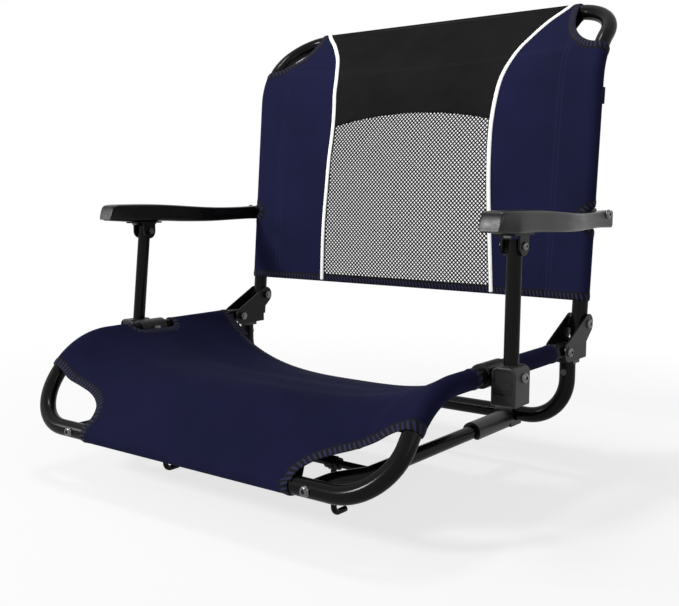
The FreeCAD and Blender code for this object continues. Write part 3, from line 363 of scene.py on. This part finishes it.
# %% The seat's cloth as a formula
front = (-99.0, 13.7)
slope_angle = math.radians(53.0)
knee = 100.0
slope_run = 63.84
knee_run = knee * slope_angle
bend = (19.28, 4.5)
sag_at = smooth([0, 24, 63.84, 110, 156.3, 205, 253, 305, 358, 380], [0, 4, 18, 30, 38.3, 42.4, 53.7, 59.3, 70, 76])
sides_at = smooth([0, 60, 110, 156, 253, 330, 358, 380], [2.5, 3.0, 4.1, 4.1, 3.3, 3.0, 3.0, 3.0])
front_round = 210 * math.pi / 180 * wrap
front_under = 37.6
front_hem = 39.0
front_flat = front_round + front_under


def seat_place(flat):
    """Flat place (across, along the rails from the front run) to a point: the rails' line plus the section along its
    normal. Before the front run the cloth follows that tube's circle and then a line back to its hem."""
    across, along = flat[..., 0], flat[..., 1]
    path = np.maximum(along, 0)
    angle = slope_angle - np.clip((path - slope_run) / knee, 0, slope_angle)
    before = np.minimum(path - slope_run, 0)
    after = np.maximum(path - slope_run - knee_run, 0)
    y = bend[0] - knee * np.sin(angle) + before * math.cos(slope_angle) + after
    z = bend[1] + knee * np.cos(angle) + before * math.sin(slope_angle)
    x, ahead = section(across, sag_at(path), sides_at(path))
    point = np.stack([x, y - ahead * np.sin(angle), z + ahead * np.cos(angle)], -1)
    way = np.array([math.cos(slope_angle), math.sin(slope_angle)])
    normal = np.array([-math.sin(slope_angle), math.cos(slope_angle)])
    turn = np.clip(-along / wrap, 0, front_round / wrap)
    share = np.clip((-along - front_round) / front_under, 0, 1)
    up = -wrap * np.sin(turn)
    out = wrap * np.cos(turn)
    up = up + share * (front_hem - up)
    under_sheet = section(across, sag_at(np.full_like(along, front_hem)), sides_at(front_hem))[1] - 1.6
    out = out + share * (under_sheet - out)
    wrapped = np.stack([across, front[0] + up * way[0] + out * normal[0],
                        front[1] + up * way[1] + out * normal[1]], -1)
    return np.where((along < 0)[..., None], wrapped, point)


def normal_of(place, flat, step=0.05):
    """The surface's unit normal at flat places, from small steps across and along."""
    across = place(flat + [step, 0]) - place(flat - [step, 0])
    along = place(flat + [0, step]) - place(flat - [0, step])
    normal = np.cross(across, along)
    return normal / np.maximum(np.linalg.norm(normal, axis=-1, keepdims=True), 1e-9)


# %% [markdown]
# ## Cutting cloth
# A piece of cloth is cut to an outline, with holes. The flat outline is filled with a grid of points and joined into
# triangles that keep the outline as edges. Then the formula carries all points to their place at once.


# %% Cloth from a flat outline
def inside(points, loop):
    """True for points inside a closed loop, by counting crossings of a level ray."""
    a, b = loop, np.roll(loop, -1, 0)
    level = (a[:, 1] > points[:, 1:]) != (b[:, 1] > points[:, 1:])
    rise = np.where(b[:, 1] == a[:, 1], 1e-9, b[:, 1] - a[:, 1])
    cross = a[:, 0] + (points[:, 1:] - a[:, 1]) / rise * (b[:, 0] - a[:, 0])
    return (level & (points[:, :1] < cross)).sum(1) % 2 == 1


def spaced(path, step, closed=False):
    """The same path with points at an even spacing."""
    path = np.vstack([path, path[:1]]) if closed else np.asarray(path, float)
    length = np.concatenate([[0], np.cumsum(np.linalg.norm(np.diff(path, axis=0), axis=1))])
    count = max(int(round(length[-1] / step)), 2)
    at = np.linspace(0, length[-1], count + 1)
    line = np.stack([np.interp(at, length, path[:, k]) for k in (0, 1)], -1)
    return line[:-1] if closed else line


def cut_cloth(loops, across, along):
    """Flat points and triangles of a cloth: grid points inside the outline (first loop) and outside its holes."""
    grid = np.stack(np.meshgrid(across, along), -1).reshape(-1, 2)
    near = np.vstack(loops)
    apart = np.min(np.linalg.norm(grid[:, None] - near[None], axis=-1), axis=1)
    keep = inside(grid, loops[0]) & (apart > 1.6)
    for hole in loops[1:]:
        keep &= ~inside(grid, hole)
    points = np.vstack([near, grid[keep]])
    edges, first = [], 0
    for loop in loops:
        count = np.arange(len(loop))
        edges.append(np.stack([count, (count + 1) % len(loop)], -1) + first)
        first += len(loop)
    flat, _, triangles, *_ = delaunay_2d_cdt(points.tolist(), np.vstack(edges).tolist(), [], 0, 1e-6)
    flat = np.array([tuple(p) for p in flat])
    triangles = np.array(triangles)
    middle = flat[triangles].mean(1)
    keep = inside(middle, loops[0])
    for hole in loops[1:]:
        keep &= ~inside(middle, hole)
    triangles = triangles[keep]
    a, b, c = (flat[triangles[:, k]] for k in range(3))
    turn = (b - a)[:, 0] * (c - a)[:, 1] - (b - a)[:, 1] * (c - a)[:, 0]
    triangles[turn < 0] = triangles[turn < 0][:, ::-1]
    return flat, triangles


def area_of(points, triangles):
    """Area of triangles in square metres, from points in mm."""
    a, b, c = (points[triangles[:, k]] for k in range(3))
    return float(np.linalg.norm(np.cross(b - a, c - a), axis=1).sum() / 2e6)


def bound_edge(place, path, closed=False, pitch=5.2, width=9.5):
    """Points and faces of a bound edge along a flat path whose cloth is on its left. The section goes from the inner
    line over the edge to the inner line behind, and swells between slanted thread bars, by cos(2 pi length / pitch)."""
    length = np.linalg.norm(np.diff(np.vstack([path, path[:1]]) if closed else path, axis=0), axis=1).sum()
    count = max(round(length / pitch), 1)
    line = spaced(path, length / count / 8, closed)
    ahead = np.roll(line, -1, 0) - np.roll(line, 1, 0) if closed else np.gradient(line, axis=0)
    ahead = ahead / np.linalg.norm(ahead, axis=1, keepdims=True)
    left = np.stack([-ahead[:, 1], ahead[:, 0]], -1)
    run = np.arange(len(line)) * length / (len(line) if closed else len(line) - 1)
    inward = np.array([9.5, 8.6, 6.5, 4.0, 1.5, -0.6, -1.5, -0.6, 1.5, 4.0, 6.5, 8.6, 9.5]) * width / 9.5
    swell = 0.5 + 0.5 * np.cos(math.tau * (run[:, None] * count / length + 0.3 * inward[None] / pitch))
    height = np.array([0.4, 0.85, 1.0, 1.15, 1.1, 0.9, 0.0, -0.9, -1.1, -1.15, -1.0, -0.85, -0.4])
    grown = 0.38 * np.array([0, 0, 0.6, 1, 1, 1, 1, 1, 1, 1, 0.6, 0, 0])
    flat = line[:, None] + left[:, None] * inward[None, :, None]
    lift = height[None] * (0.62 + grown[None] * swell)
    points = place(flat) + normal_of(place, flat) * lift[..., None]
    rows = len(line)
    if closed:
        points = np.vstack([points, points[:1]])
        run = np.append(run, length)
        rows += 1
    uv = np.stack(np.broadcast_arrays(run[:, None] * count * pitch / length, inward[None]), -1)
    return points.reshape(-1, 3), grid_faces(rows, 13, ring=True), uv.reshape(-1, 2)


def joined(parts):
    """Several (points, faces, uv) sets as one."""
    shift = np.cumsum([0] + [len(p[0]) for p in parts[:-1]])
    return (np.vstack([p[0] for p in parts]), np.vstack([p[1] + k for p, k in zip(parts, shift)]),
            np.vstack([p[2] for p in parts]))


def arc(centre, radii, start, end, count=24, power=2.0):
    """Points on |x/a|^power + |y/b|^power = 1 between two angles in degrees. A power of 2 is an oval, 1 a straight."""
    turn = np.radians(np.linspace(start, end, count))
    way = np.stack([np.cos(turn), np.sin(turn)], -1)
    return np.asarray(centre) + np.asarray(radii) * np.sign(way) * np.abs(way) ** (2 / power)


def through(points, count):
    """A smooth path through points, each way as a curve over the distance along them."""
    points = np.asarray(points, float)
    far = np.concatenate([[0], np.cumsum(np.linalg.norm(np.diff(points, axis=0), axis=1))])
    at = np.linspace(0, far[-1], count)
    return np.stack([smooth(far, points[:, k])(at) for k in (0, 1)], -1)


def straight(*corners, step=4):
    """Evenly spaced points on straight lines between corners, with the corners kept."""
    lines = [spaced(np.array(ends, float), step)[:-1] for ends in zip(corners[:-1], corners[1:])]
    return np.vstack(lines + [[corners[-1]]])


def mirrored(path):
    """A flat path on the other side, still with the cloth on its left."""
    return path[::-1] * [-1, 1]


def rounded_hole(low, high, radius):
    """A loop round a rounded box, clockwise, so that the cloth is on its left."""
    corners = [((low[0] + radius, low[1] + radius), 270, 180), ((low[0] + radius, high[1] - radius), 180, 90),
               ((high[0] - radius, high[1] - radius), 90, 0), ((high[0] - radius, low[1] + radius), 0, -90)]
    return np.vstack([arc(centre, (radius, radius), a, b, 8) for centre, a, b in corners])


# %% [markdown]
# ## Seat sling
# The sling is cut with an oval out of each front corner, which bares the tube, and a gap on each side for the clamp
# that carries an armrest's post. Its rear edge is free. All these edges are overlocked.

# %% Seat sling and its bound edges
front_half, bared_end, seat_end = 156.0, 74.0, 376.0
bared_right = [(156, -22), (156, -4), (155, 4), (157, 11.5), (167, 23), (187.5, 36), (208, 45.5), (227.5, 56.5),
               (242, 67), (254, 71.5), (266, 73.5), (285, 74), (300, 74)]
bared_left = [(156, -22), (154.5, -3), (150.5, 6.5), (147, 16), (151, 30.5), (163, 41), (179, 48.5), (202, 54.5),
              (226.5, 60), (246, 69), (260, 73), (280, 74), (300, 74)]
oval_right = np.vstack([[(front_half, -front_flat)], through(bared_right, 70), [(half_flat, bared_end)]])
oval_left = np.vstack([[(front_half, -front_flat)], through(bared_left, 70), [(half_flat, bared_end)]])
oval_left = mirrored(oval_left)
rear_x = np.linspace(half_flat, -half_flat, 120)
rear = np.stack([rear_x, 358 + 18 * np.minimum(np.abs(rear_x) / 262, 1) ** 6], -1)
gap_right = rounded_hole((243.4, 193.0), (311.0, 264.0), 12.0)
gap_left = mirrored(gap_right)
side_right = spaced(np.array([[half_flat, bared_end], [half_flat, seat_end]]), 6)[1:-1]
side_left = spaced(np.array([[-half_flat, seat_end], [-half_flat, bared_end]]), 6)[1:-1]
front_edge = spaced(np.array([[-front_half, -front_flat], [front_half, -front_flat]]), 6)[1:-1]
outline = np.vstack([spaced(oval_right, 3), side_right, spaced(rear, 4), side_left, spaced(oval_left, 3), front_edge])
fine_wrap = np.concatenate([np.linspace(free, free + round_it, 17), np.linspace(free + round_it, half_flat, 6)[1:]])
across = np.concatenate([-fine_wrap[::-1], np.linspace(-free, free, 88)[1:-1], fine_wrap])
along = np.concatenate([np.linspace(-front_flat, -front_round, 6)[:-1], np.linspace(-front_round, 0, 16),
                        np.linspace(0, seat_end, 66)[1:]])
flat, triangles = cut_cloth([outline, spaced(gap_right, 3, True), spaced(gap_left, 3, True)], across, along)
points = seat_place(flat)
sling = as_mesh("seat_sling_cloth", points, triangles, flat, seat_canvas_with_painted_shade, "navy_cloth", "base", 1.0)
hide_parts("seat_sling")

edges = [bound_edge(seat_place, oval_right), bound_edge(seat_place, oval_left), bound_edge(seat_place, rear),
         bound_edge(seat_place, gap_right, True, width=8.0), bound_edge(seat_place, gap_left, True, width=8.0)]
sling_edge = as_mesh("seat_sling_binding", *joined(edges), navy_binding, "navy_cloth", "base")

# %% [markdown]
# ## Place on the back
# The back's cloth hangs between two uprights that bend back over a knee, and goes over the top run as a sleeve. Taut
# cloth cuts the corner at the knee, so between the tubes it bows to the rear.

# %% The back's cloth as a formula
pivot = (316.0, 132.0)
lean = math.radians(4.8)
knee_start = 292.2
knee_radius = 85.0
knee_turn = math.radians(90 - 4.8 - 40)
knee_end = knee_start + knee_radius * knee_turn
top_flat = 421.0
lower_edge = 29.0
bow_at = smooth([29, 60, 115, 160, 205, 250, 290, 335, 365, 400, 421], [14, 9.5, 3, 0.8, 0.6, 5.5, 12, 20, 17, 7, 1.5])
top_round = 212 * math.pi / 180 * wrap
top_under = 80.0
top_hem = 338.0
top_full = top_flat + top_round + top_under


def back_frame(along):
    """(y, z, lean) of the uprights' line at a length from the pivot: straight, an arc about the knee, straight."""
    turned = np.clip((along - knee_start) / knee_radius, 0, knee_turn)
    angle = lean + turned
    straight = np.minimum(along - knee_start, 0) + np.maximum(along - knee_end, 0)
    centre = (pivot[0] + knee_start * math.sin(lean) + knee_radius * math.cos(lean),
              pivot[1] + knee_start * math.cos(lean) - knee_radius * math.sin(lean))
    y = centre[0] - knee_radius * np.cos(angle) + straight * np.sin(angle)
    z = centre[1] + knee_radius * np.sin(angle) + straight * np.cos(angle)
    return y, z, angle


def back_place(flat):
    """Flat place (across, along the uprights from the pivot) to a point: the uprights' line plus the section ahead of
    it. Past the top run the cloth follows that tube's circle and then a line down to its hem."""
    across, along = flat[..., 0], flat[..., 1]
    path = np.minimum(along, top_flat)
    y, z, angle = back_frame(path)
    x, ahead = section(across, bow_at(path), 2.0)
    point = np.stack([x, y - ahead * np.cos(angle), z + ahead * np.sin(angle)], -1)
    past = np.maximum(along - top_flat, 0)
    turn = np.clip(past / wrap, 0, top_round / wrap)
    share = np.clip((past - top_round) / top_under, 0, 1)
    y, z, angle = back_frame(np.full_like(along, top_flat))
    up = wrap * np.sin(turn)
    out = wrap * np.cos(turn)
    wrapped = np.stack([x, y + up * np.sin(angle) - out * np.cos(angle),
                        z + up * np.cos(angle) + out * np.sin(angle)], -1)
    y, z, angle = back_frame(np.full_like(along, top_hem))
    deep = section(across, bow_at(np.full_like(along, top_hem)), 2.0)[1] - 1.6
    sewn = np.stack([x, y - deep * np.cos(angle), z + deep * np.sin(angle)], -1)
    wrapped = wrapped + share[..., None] * (sewn - wrapped)
    return np.where((along > top_flat)[..., None], wrapped, point)


seam_at = smooth([29, 40, 115, 165, 205, 252, 290, 335, 365, 395, 421, 520],
                 [137.5, 137, 133, 129.5, 127.6, 126.5, 130, 140, 151.5, 170.5, 192, 198])
print("back top:", back_place(np.array([[0.0, top_flat]])).round(1))

# %% [markdown]
# ## Back panels
# Two navy side panels carry the upright sleeves, with a gap for each armrest's pivot. The black panel between them ends
# in an arch over the net. White piping runs up both seams. Each sleeve's lower end is a strip with a mesh of its own;
# on the real seat it bunches up along the tube as the back folds, because the bracket's cheek then takes its place.

# %% Side panels
seam_line = np.linspace(lower_edge, top_full, 140)
corner_foot, corner_side = 337.0, 204.5
corner = np.vstack([[(half_flat, corner_foot)], [(285, corner_foot)], arc((rail, top_flat), (58, 84), 270, 180),
                    [(corner_side, 450)], [(corner_side, top_full)]])
arm_gap = np.vstack([arc((290, 127.8), (37, 20.5), 270, 90, 40, 1.3), arc((290, 127.8), (21, 20.5), 90, -90)[1:-1]])
tuck_side, tuck_top = 236.0, 52.0
anchor_y, anchor_z = back_place(np.array([rail, tuck_top]))[1:]


def bunch_up(piece):
    """Gives the strip a mesh of its own, not shared with any other piece."""
    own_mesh(piece)


def sleeve_end(name, side):
    """Lower end of one sleeve with its bound edge: a strip right round the tube."""
    loop = straight((tuck_side, lower_edge), (half_flat, lower_edge), (half_flat, tuck_top), (tuck_side, tuck_top),
                    (tuck_side, lower_edge))[:-1]
    across = np.concatenate([np.linspace(tuck_side, free, 6)[:-1], fine_wrap]) * side
    edge = np.array([[tuck_side, lower_edge], [half_flat, lower_edge]])
    if side < 0:
        loop, edge = mirrored(loop), mirrored(edge)
    flat, triangles = cut_cloth([loop], across, np.linspace(lower_edge, tuck_top, 8))
    points = back_place(flat)
    piece = as_mesh(name, points, triangles, flat, navy_canvas, "navy_cloth", "back", 1.0, crisp=True)
    binding = as_mesh(name + "_binding", *bound_edge(back_place, edge), navy_binding, "navy_cloth", "back")
    bunch_up(piece)
    bunch_up(binding)
    return piece, area_of(points, triangles)


def side_panel(name, side, node):
    """One side panel: the seam, the lower edge, the sleeve's end and the corner cut, on its own side."""
    seam = np.stack([seam_at(seam_line), seam_line], -1)[::-1]
    lower = straight((seam[-1, 0], lower_edge), (tuck_side, lower_edge), (tuck_side, tuck_top), (half_flat, tuck_top),
                     (half_flat, corner_foot))
    top = np.array([[corner_side, top_full], [seam_at(np.array(top_full)), top_full]])
    loop = np.vstack([lower[:-1], spaced(corner, 3), spaced(top, 3)[1:-1], spaced(seam, 3)[:-1]])
    hole = spaced(arm_gap, 3, True)
    if side < 0:
        loop, hole = mirrored(loop), mirrored(hole)
    across = np.concatenate([np.linspace(126, free, 28)[:-1], fine_wrap]) * side
    along = np.concatenate([np.linspace(lower_edge, top_flat, 70), np.linspace(top_flat, top_flat + top_round, 16)[1:],
                            np.linspace(top_flat + top_round, top_full, 12)[1:]])
    flat, triangles = cut_cloth([loop, hole], across, along)
    points = back_place(flat)
    piece = as_mesh(name, points, triangles, flat, navy_canvas, "navy_cloth", "back", 1.0, crisp=True)
    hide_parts(node)
    end, end_area = sleeve_end(name.replace("panel", "sleeve_end"), side)


side_panel("back_panel_right_cloth", 1, "back_panel_right")
side_panel("back_panel_left_cloth", -1, "back_panel_left")

# %% Black panel between the seams
waist, waist_half = 252.0, 126.5


def arch_at(x):
    """Length at which the black panel ends over the net: waist + 15 (1 - (x / half width)^2)."""
    return waist + 15 * (1 - (x / waist_half) ** 2)


arch_x = np.linspace(-waist_half, waist_half, 60)
arch = np.stack([arch_x, arch_at(arch_x)], -1)
rise = np.linspace(waist, top_full, 120)
right_seam = np.stack([seam_at(rise), rise], -1)
loop = np.vstack([spaced(arch, 3)[:-1], spaced(right_seam, 3),
                  spaced(np.array([[right_seam[-1, 0], top_full], [-right_seam[-1, 0], top_full]]), 6)[1:-1],
                  spaced(mirrored(right_seam), 3)[:-1]])
along = np.concatenate([np.linspace(waist, top_flat, 30), np.linspace(top_flat, top_flat + top_round, 16)[1:],
                        np.linspace(top_flat + top_round, top_full, 12)[1:]])
flat, triangles = cut_cloth([loop], np.linspace(-195, 195, 66), along)
points = back_place(flat)
top_panel = as_mesh("back_top_panel_cloth", points, triangles, flat, black_canvas, "black_cloth", "back", 1.0)
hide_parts("back_panel_top")

# %% [markdown]
# ## Net
# The net is knitted with diamond holes about 5.5 mm across. Each hole is a ring of four short strands. All rings come
# from one array of centres, and those past the seams are pressed onto the seam line, as where a net is sewn in.

# %% Net with real holes
pitch, strand = 5.6, 1.4
column, row = np.meshgrid(np.arange(-52, 53), np.arange(0, 90))
odd = (column + row) % 2 == 0
centre = np.stack([column[odd] * pitch / 2, lower_edge + row[odd] * pitch / 2], -1)
spoke = np.array([[1, 0], [0, 1], [-1, 0], [0, -1]], float)
outer = centre[:, None] + spoke * pitch / 2
inner = centre[:, None] + spoke * (pitch / 2 - strand * math.sqrt(2) / 2)
flat = np.concatenate([outer, inner], 1)
limit = seam_at(np.clip(flat[..., 1], lower_edge, waist))
flat[..., 0] = np.clip(flat[..., 0], -limit, limit)
lid = arch_at(flat[..., 0]) + 2
flat[..., 1] = np.clip(flat[..., 1], lower_edge, lid)
one = np.array([[k, (k + 1) % 4, 4 + (k + 1) % 4, 4 + k] for k in range(4)])
faces = (np.arange(len(centre))[:, None, None] * 8 + one).reshape(-1, 4)
flat = flat.reshape(-1, 2)
whole, where = np.unique(flat.round(3), axis=0, return_inverse=True)
faces = where.reshape(-1)[faces]
a, b, c, d = (whole[faces[:, k]] for k in range(4))
size = np.abs((c - a)[:, 0] * (d - b)[:, 1] - (c - a)[:, 1] * (d - b)[:, 0]) / 2
faces = faces[size > 0.05]
used, faces = np.unique(faces, return_inverse=True)
whole, faces = whole[used], faces.reshape(-1, 4)
points = back_place(whole)
net = as_mesh("back_net", points, faces, whole, net_yarn, "black_net", "back", 0.9)
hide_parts("back_mesh")
net_area = area_of(points, faces[:, :3]) + area_of(points, faces[:, [0, 2, 3]])
net_top = 262.0
cut = np.linspace(lower_edge, net_top, 200)
net_cut = float(np.mean(2 * seam_at(cut)) * (net_top - lower_edge) * 1e-6)
print("net cut area m2:", round(net_cut, 4), "of which yarn:", round(net_area, 4))


# %% Piping on the seams
def strip_along(place, path, half_width, low, high, count=14):
    """A flattened round cord on a flat path: half_width cos b to the side and, up, the middle of low and high plus
    half their difference times sin b."""
    line = spaced(path, 2.5)
    ahead = np.gradient(line, axis=0)
    ahead = ahead / np.linalg.norm(ahead, axis=1, keepdims=True)
    left = np.stack([-ahead[:, 1], ahead[:, 0]], -1)
    turn = np.linspace(0, math.tau, count, endpoint=False)
    flat = line[:, None] + left[:, None] * (half_width * np.cos(turn))[None, :, None]
    lift = (low + high) / 2 + (high - low) / 2 * np.sin(turn)
    points = place(flat) + normal_of(place, flat) * lift[None, :, None]
    return points.reshape(-1, 3), grid_faces(len(line), count, ring=True), flat.reshape(-1, 2)


for side, name in ((1, "right"), (-1, "left")):
    rise = np.linspace(lower_edge + 1, top_flat + 16, 90)
    path = np.stack([seam_at(rise) * side, rise], -1)
    cord = as_mesh("back_piping_%s_tape" % name, *strip_along(back_place, path, 2.9, -0.9, 2.0), white_piping,
                   "white_piping", "back")
    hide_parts("back_piping_" + name)
    # A black strip, wider than the cord, lies under each piping cord, so dark lines show along both its sides.
    as_mesh("back_dark_strip_%s" % name, *strip_along(back_place, path, 4.2, -1.0, 1.0), dark_strip_by_piping, "black_cloth", "back")

# %% Bound edges of the back
lower = np.array([[-tuck_side, lower_edge], [tuck_side, lower_edge]])
edges = [bound_edge(back_place, lower), bound_edge(back_place, corner), bound_edge(back_place, mirrored(corner)),
         bound_edge(back_place, arm_gap, True), bound_edge(back_place, mirrored(arm_gap), True)]
as_mesh("back_binding", *joined(edges), navy_binding, "navy_cloth", "back")

# %% Loop behind the right sleeve
turn = np.linspace(-0.5, 0.5, 14)
loop_out = np.concatenate([[0], 5.5 * (1 - np.abs(2 * turn[1:-1]) ** 3), [0]])
length = np.linspace(267, 287, 8)
y, z, angle = back_frame(length)
behind = wrap * 0.74 + loop_out
loop_side = rail + wrap * 0.70 + np.sign(turn) * 1.2 * (1 - (2 * np.abs(turn)) ** 2)
points = np.stack(np.broadcast_arrays(loop_side[None], y[:, None] + behind[None] * np.cos(angle)[:, None],
                                      z[:, None] - behind[None] * np.sin(angle)[:, None]), -1)
uv = np.stack(np.meshgrid(np.arange(14) * 1.5, length), -1)
tab = as_mesh("back_side_loop", points.reshape(-1, 3), grid_faces(8, 14), uv.reshape(-1, 2), black_canvas,
              "black_cloth", "back", 0.8)
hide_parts("back_side_tab")

# %% [markdown]
# ## Armrests
# Each armrest is one moulding: a bevelled nose, a crown, a waist that narrows towards the rear and a blunt end on
# the pivot. It is a rounded section carried along the arm, with width, top and bottom given by smooth curves.

# %% Armrest mouldings
arm_nose, arm_tail, arm_inner = 38.6, 345.0, 274.0
around = 56           # points round a section
arm_top = smooth([38.6, 40, 42, 44.2, 47, 52, 70, 93, 120, 150, 185, 223, 265, 300, 327, 345],
                 [255, 259.5, 265.5, 270.2, 272.4, 273.3, 273.8, 273.9, 273.5, 272.2, 270.2, 268.2, 267.2, 267.6,
                  268.6, 269])
arm_low = smooth([38.6, 60, 78, 100, 127, 175, 223, 275, 310, 327, 345],
                 [252.6, 251.2, 250.05, 250.05, 250.05, 248.2, 247.3, 248.2, 248.8, 248.4, 247.9])
arm_out = smooth([40, 50, 60, 80, 120, 170, 200, 225, 260, 295, 345],
                 [299, 300.8, 301.5, 302, 301.5, 301.5, 300.9, 298.4, 293.6, 290.6, 290])


def chin_at(along):
    """How far the nose's lower outer corner is drawn in: straight from 9 mm to none."""
    return np.interp(along, [39, 77], [9.0, 0.0])


def armrest(side):
    """Sections across the arm: a superellipse of exponent 7 between inner, outer, top and bottom, whose lower outer
    corner is drawn in at the nose by the chin, and which closes to a face with rounded edges at both ends."""
    cap = 2.2 * (1 - np.cos(np.linspace(0, math.pi / 2, 7)))
    round_end = np.sin(np.linspace(0, math.pi / 2, 7))
    along = np.concatenate([arm_nose + cap, np.linspace(41, 56, 24), np.linspace(57, 342.5, 90),
                            arm_tail - cap[::-1]])
    inset = 2.2 * np.concatenate([1 - round_end, np.zeros(len(along) - 14), 1 - round_end[::-1]])
    high, low, outside = arm_top(along), arm_low(along), arm_out(along)
    turn = np.linspace(0, math.tau, around, endpoint=False)
    c, s = np.cos(turn), np.sin(turn)
    c, s = np.sign(c) * np.abs(c) ** (2 / 7), np.sign(s) * np.abs(s) ** (2 / 7)
    half_wide = (outside - arm_inner) / 2
    half_high = (high - low) / 2
    wide = np.maximum(half_wide - inset, 0.1)[:, None] * c[None]
    tall = np.maximum(half_high - np.minimum(inset, half_high * 0.9), 0.1)[:, None] * s[None]
    lower = (1 - s[None]) / 2
    drawn = chin_at(along)[:, None] * lower * ((1 + c[None]) / 2 - 0.35 * (1 - c[None]) / 2)
    x = arm_inner + half_wide[:, None] + wide - drawn
    z = low[:, None] + half_high[:, None] + tall
    y = np.broadcast_to(along[:, None], x.shape)
    points = np.stack([x * side, y, z], -1)
    ends = np.stack([points[0].mean(0), points[-1].mean(0)])
    count = len(along) * around
    ring = np.arange(around)
    after = (ring + 1) % around
    quads = grid_faces(len(along), around, ring=True)
    quads = quads[:, ::-1] if side > 0 else quads
    nose = np.stack([ring, np.full(around, count), after], -1)
    tail = np.stack([ring + count - around, after + count - around, np.full(around, count + 1)], -1)
    triangles = np.vstack([quads[:, [0, 1, 2]], quads[:, [0, 2, 3]], nose, tail])
    uv = np.stack(np.broadcast_arrays(turn[None] * 12, along[:, None]), -1).reshape(-1, 2)
    return np.vstack([points.reshape(-1, 3), ends]), triangles, np.vstack([uv, [[0, arm_nose], [0, arm_tail]]])


for side, name in ((1, "right"), (-1, "left")):
    rest = as_mesh("armrest_%s_moulding" % name, *armrest(side), arm_plastic, "arm_plastic", "arm_" + name)
    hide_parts("armrest_" + name)

# %% [markdown]
# ## Floor and light
# A pale floor under the hooks and a white surround, as in a studio. The main lamp stands far off, high in front and
# to the left: it lights the cloth and makes the long highlights on the tubes. One from above and one from the left
# help it, and a wide weak one from the right opens the shadows.


# %% Floor, surround and lamps
def white_floor():
    """Mostly white to the eye, with a share of plain white paint that takes the shadow."""
    material = bpy.data.materials.new("pale_floor")
    material.use_nodes = True
    material.node_tree.nodes.clear()
    paint = put(material, "ShaderNodeBsdfDiffuse", {"Color": linear("#f2f2f2")})
    glow = put(material, "ShaderNodeEmission", {"Color": linear("#ffffff"), "Strength": 1.0})
    seen = put(material, "ShaderNodeLightPath")
    some = put(material, "ShaderNodeMath", {0: seen.outputs["Is Camera Ray"], 1: seen.outputs["Is Glossy Ray"]},
               operation="MAXIMUM")
    place = put(material, "ShaderNodeTexCoord").outputs["Object"]
    away = put(material, "ShaderNodeVectorMath", {0: place}, operation="LENGTH")
    fade = put(material, "ShaderNodeMapRange", {"Value": away.outputs["Value"], "From Min": 0.35, "From Max": 1.3,
                                                "To Min": 0.75, "To Max": 1.0}, interpolation_type="SMOOTHSTEP")
    share = put(material, "ShaderNodeMath", {0: some.outputs[0], 1: fade.outputs["Result"]}, operation="MULTIPLY")
    mix = put(material, "ShaderNodeMixShader", {0: share.outputs[0], 1: paint.outputs[0], 2: glow.outputs[0]})
    put(material, "ShaderNodeOutputMaterial", {"Surface": mix.outputs[0]})
    return material


floor_z = -0.0515
mesh = bpy.data.meshes.new("floor")
floor_half = 20.0
floor_corners = [(x * floor_half, y * floor_half, floor_z) for x, y in ((-1, -1), (1, -1), (1, 1), (-1, 1))]
mesh.from_pydata(floor_corners, [], [(0, 1, 2, 3)])
mesh.materials.append(white_floor())
floor = bpy.data.objects.new("floor", mesh)
scene.collection.objects.link(floor)

world = bpy.data.worlds.new("studio")
scene.world = world
world.use_nodes = True
world.node_tree.nodes.clear()
seen = put(world, "ShaderNodeLightPath")
both = put(world, "ShaderNodeMath", {0: seen.outputs["Is Camera Ray"], 1: seen.outputs["Is Transmission Ray"]},
           operation="MAXIMUM")
plain = put(world, "ShaderNodeMath", {0: both.outputs[0], 1: seen.outputs["Is Glossy Ray"]}, operation="MAXIMUM")
level = put(world, "ShaderNodeMapRange", {"Value": plain.outputs[0], "To Min": 0.2, "To Max": 1.0})
sky = put(world, "ShaderNodeBackground", {"Color": (1, 1, 1, 1), "Strength": level.outputs["Result"]})
put(world, "ShaderNodeOutputWorld", {"Surface": sky.outputs[0]})


def soft_lamp(name, place, target, size, power):
    """A lamp of a width and height that faces a target."""
    data = bpy.data.lights.new(name, "AREA")
    data.shape = "RECTANGLE"
    data.size, data.size_y = size
    data.energy = power
    lamp = bpy.data.objects.new(name, data)
    lamp.location = place
    way = np.array(target) - np.array(place)
    flat = math.hypot(way[0], way[1])
    lamp.rotation_euler = (math.atan2(flat, -way[2]), 0, math.atan2(way[1], way[0]) - math.pi / 2)
    scene.collection.objects.link(lamp)


soft_lamp("right_softbox", (2.0, -0.1, 1.0), (0, 0.15, 0.2), (1.2, 1.2), 5)
soft_lamp("top_softbox", (-0.3, 0.3, 2.2), (0, 0.1, 0.1), (0.4, 0.4), 11)
soft_lamp("left_softbox", (-1.8, -1.2, 1.0), (0, 0.1, 0.2), (0.2, 0.8), 10)
soft_lamp("front_softbox", (-1.5, -3.4, 2.3), (0, 0.15, 0.25), (0.7, 0.7), 150)
print("stage ready")
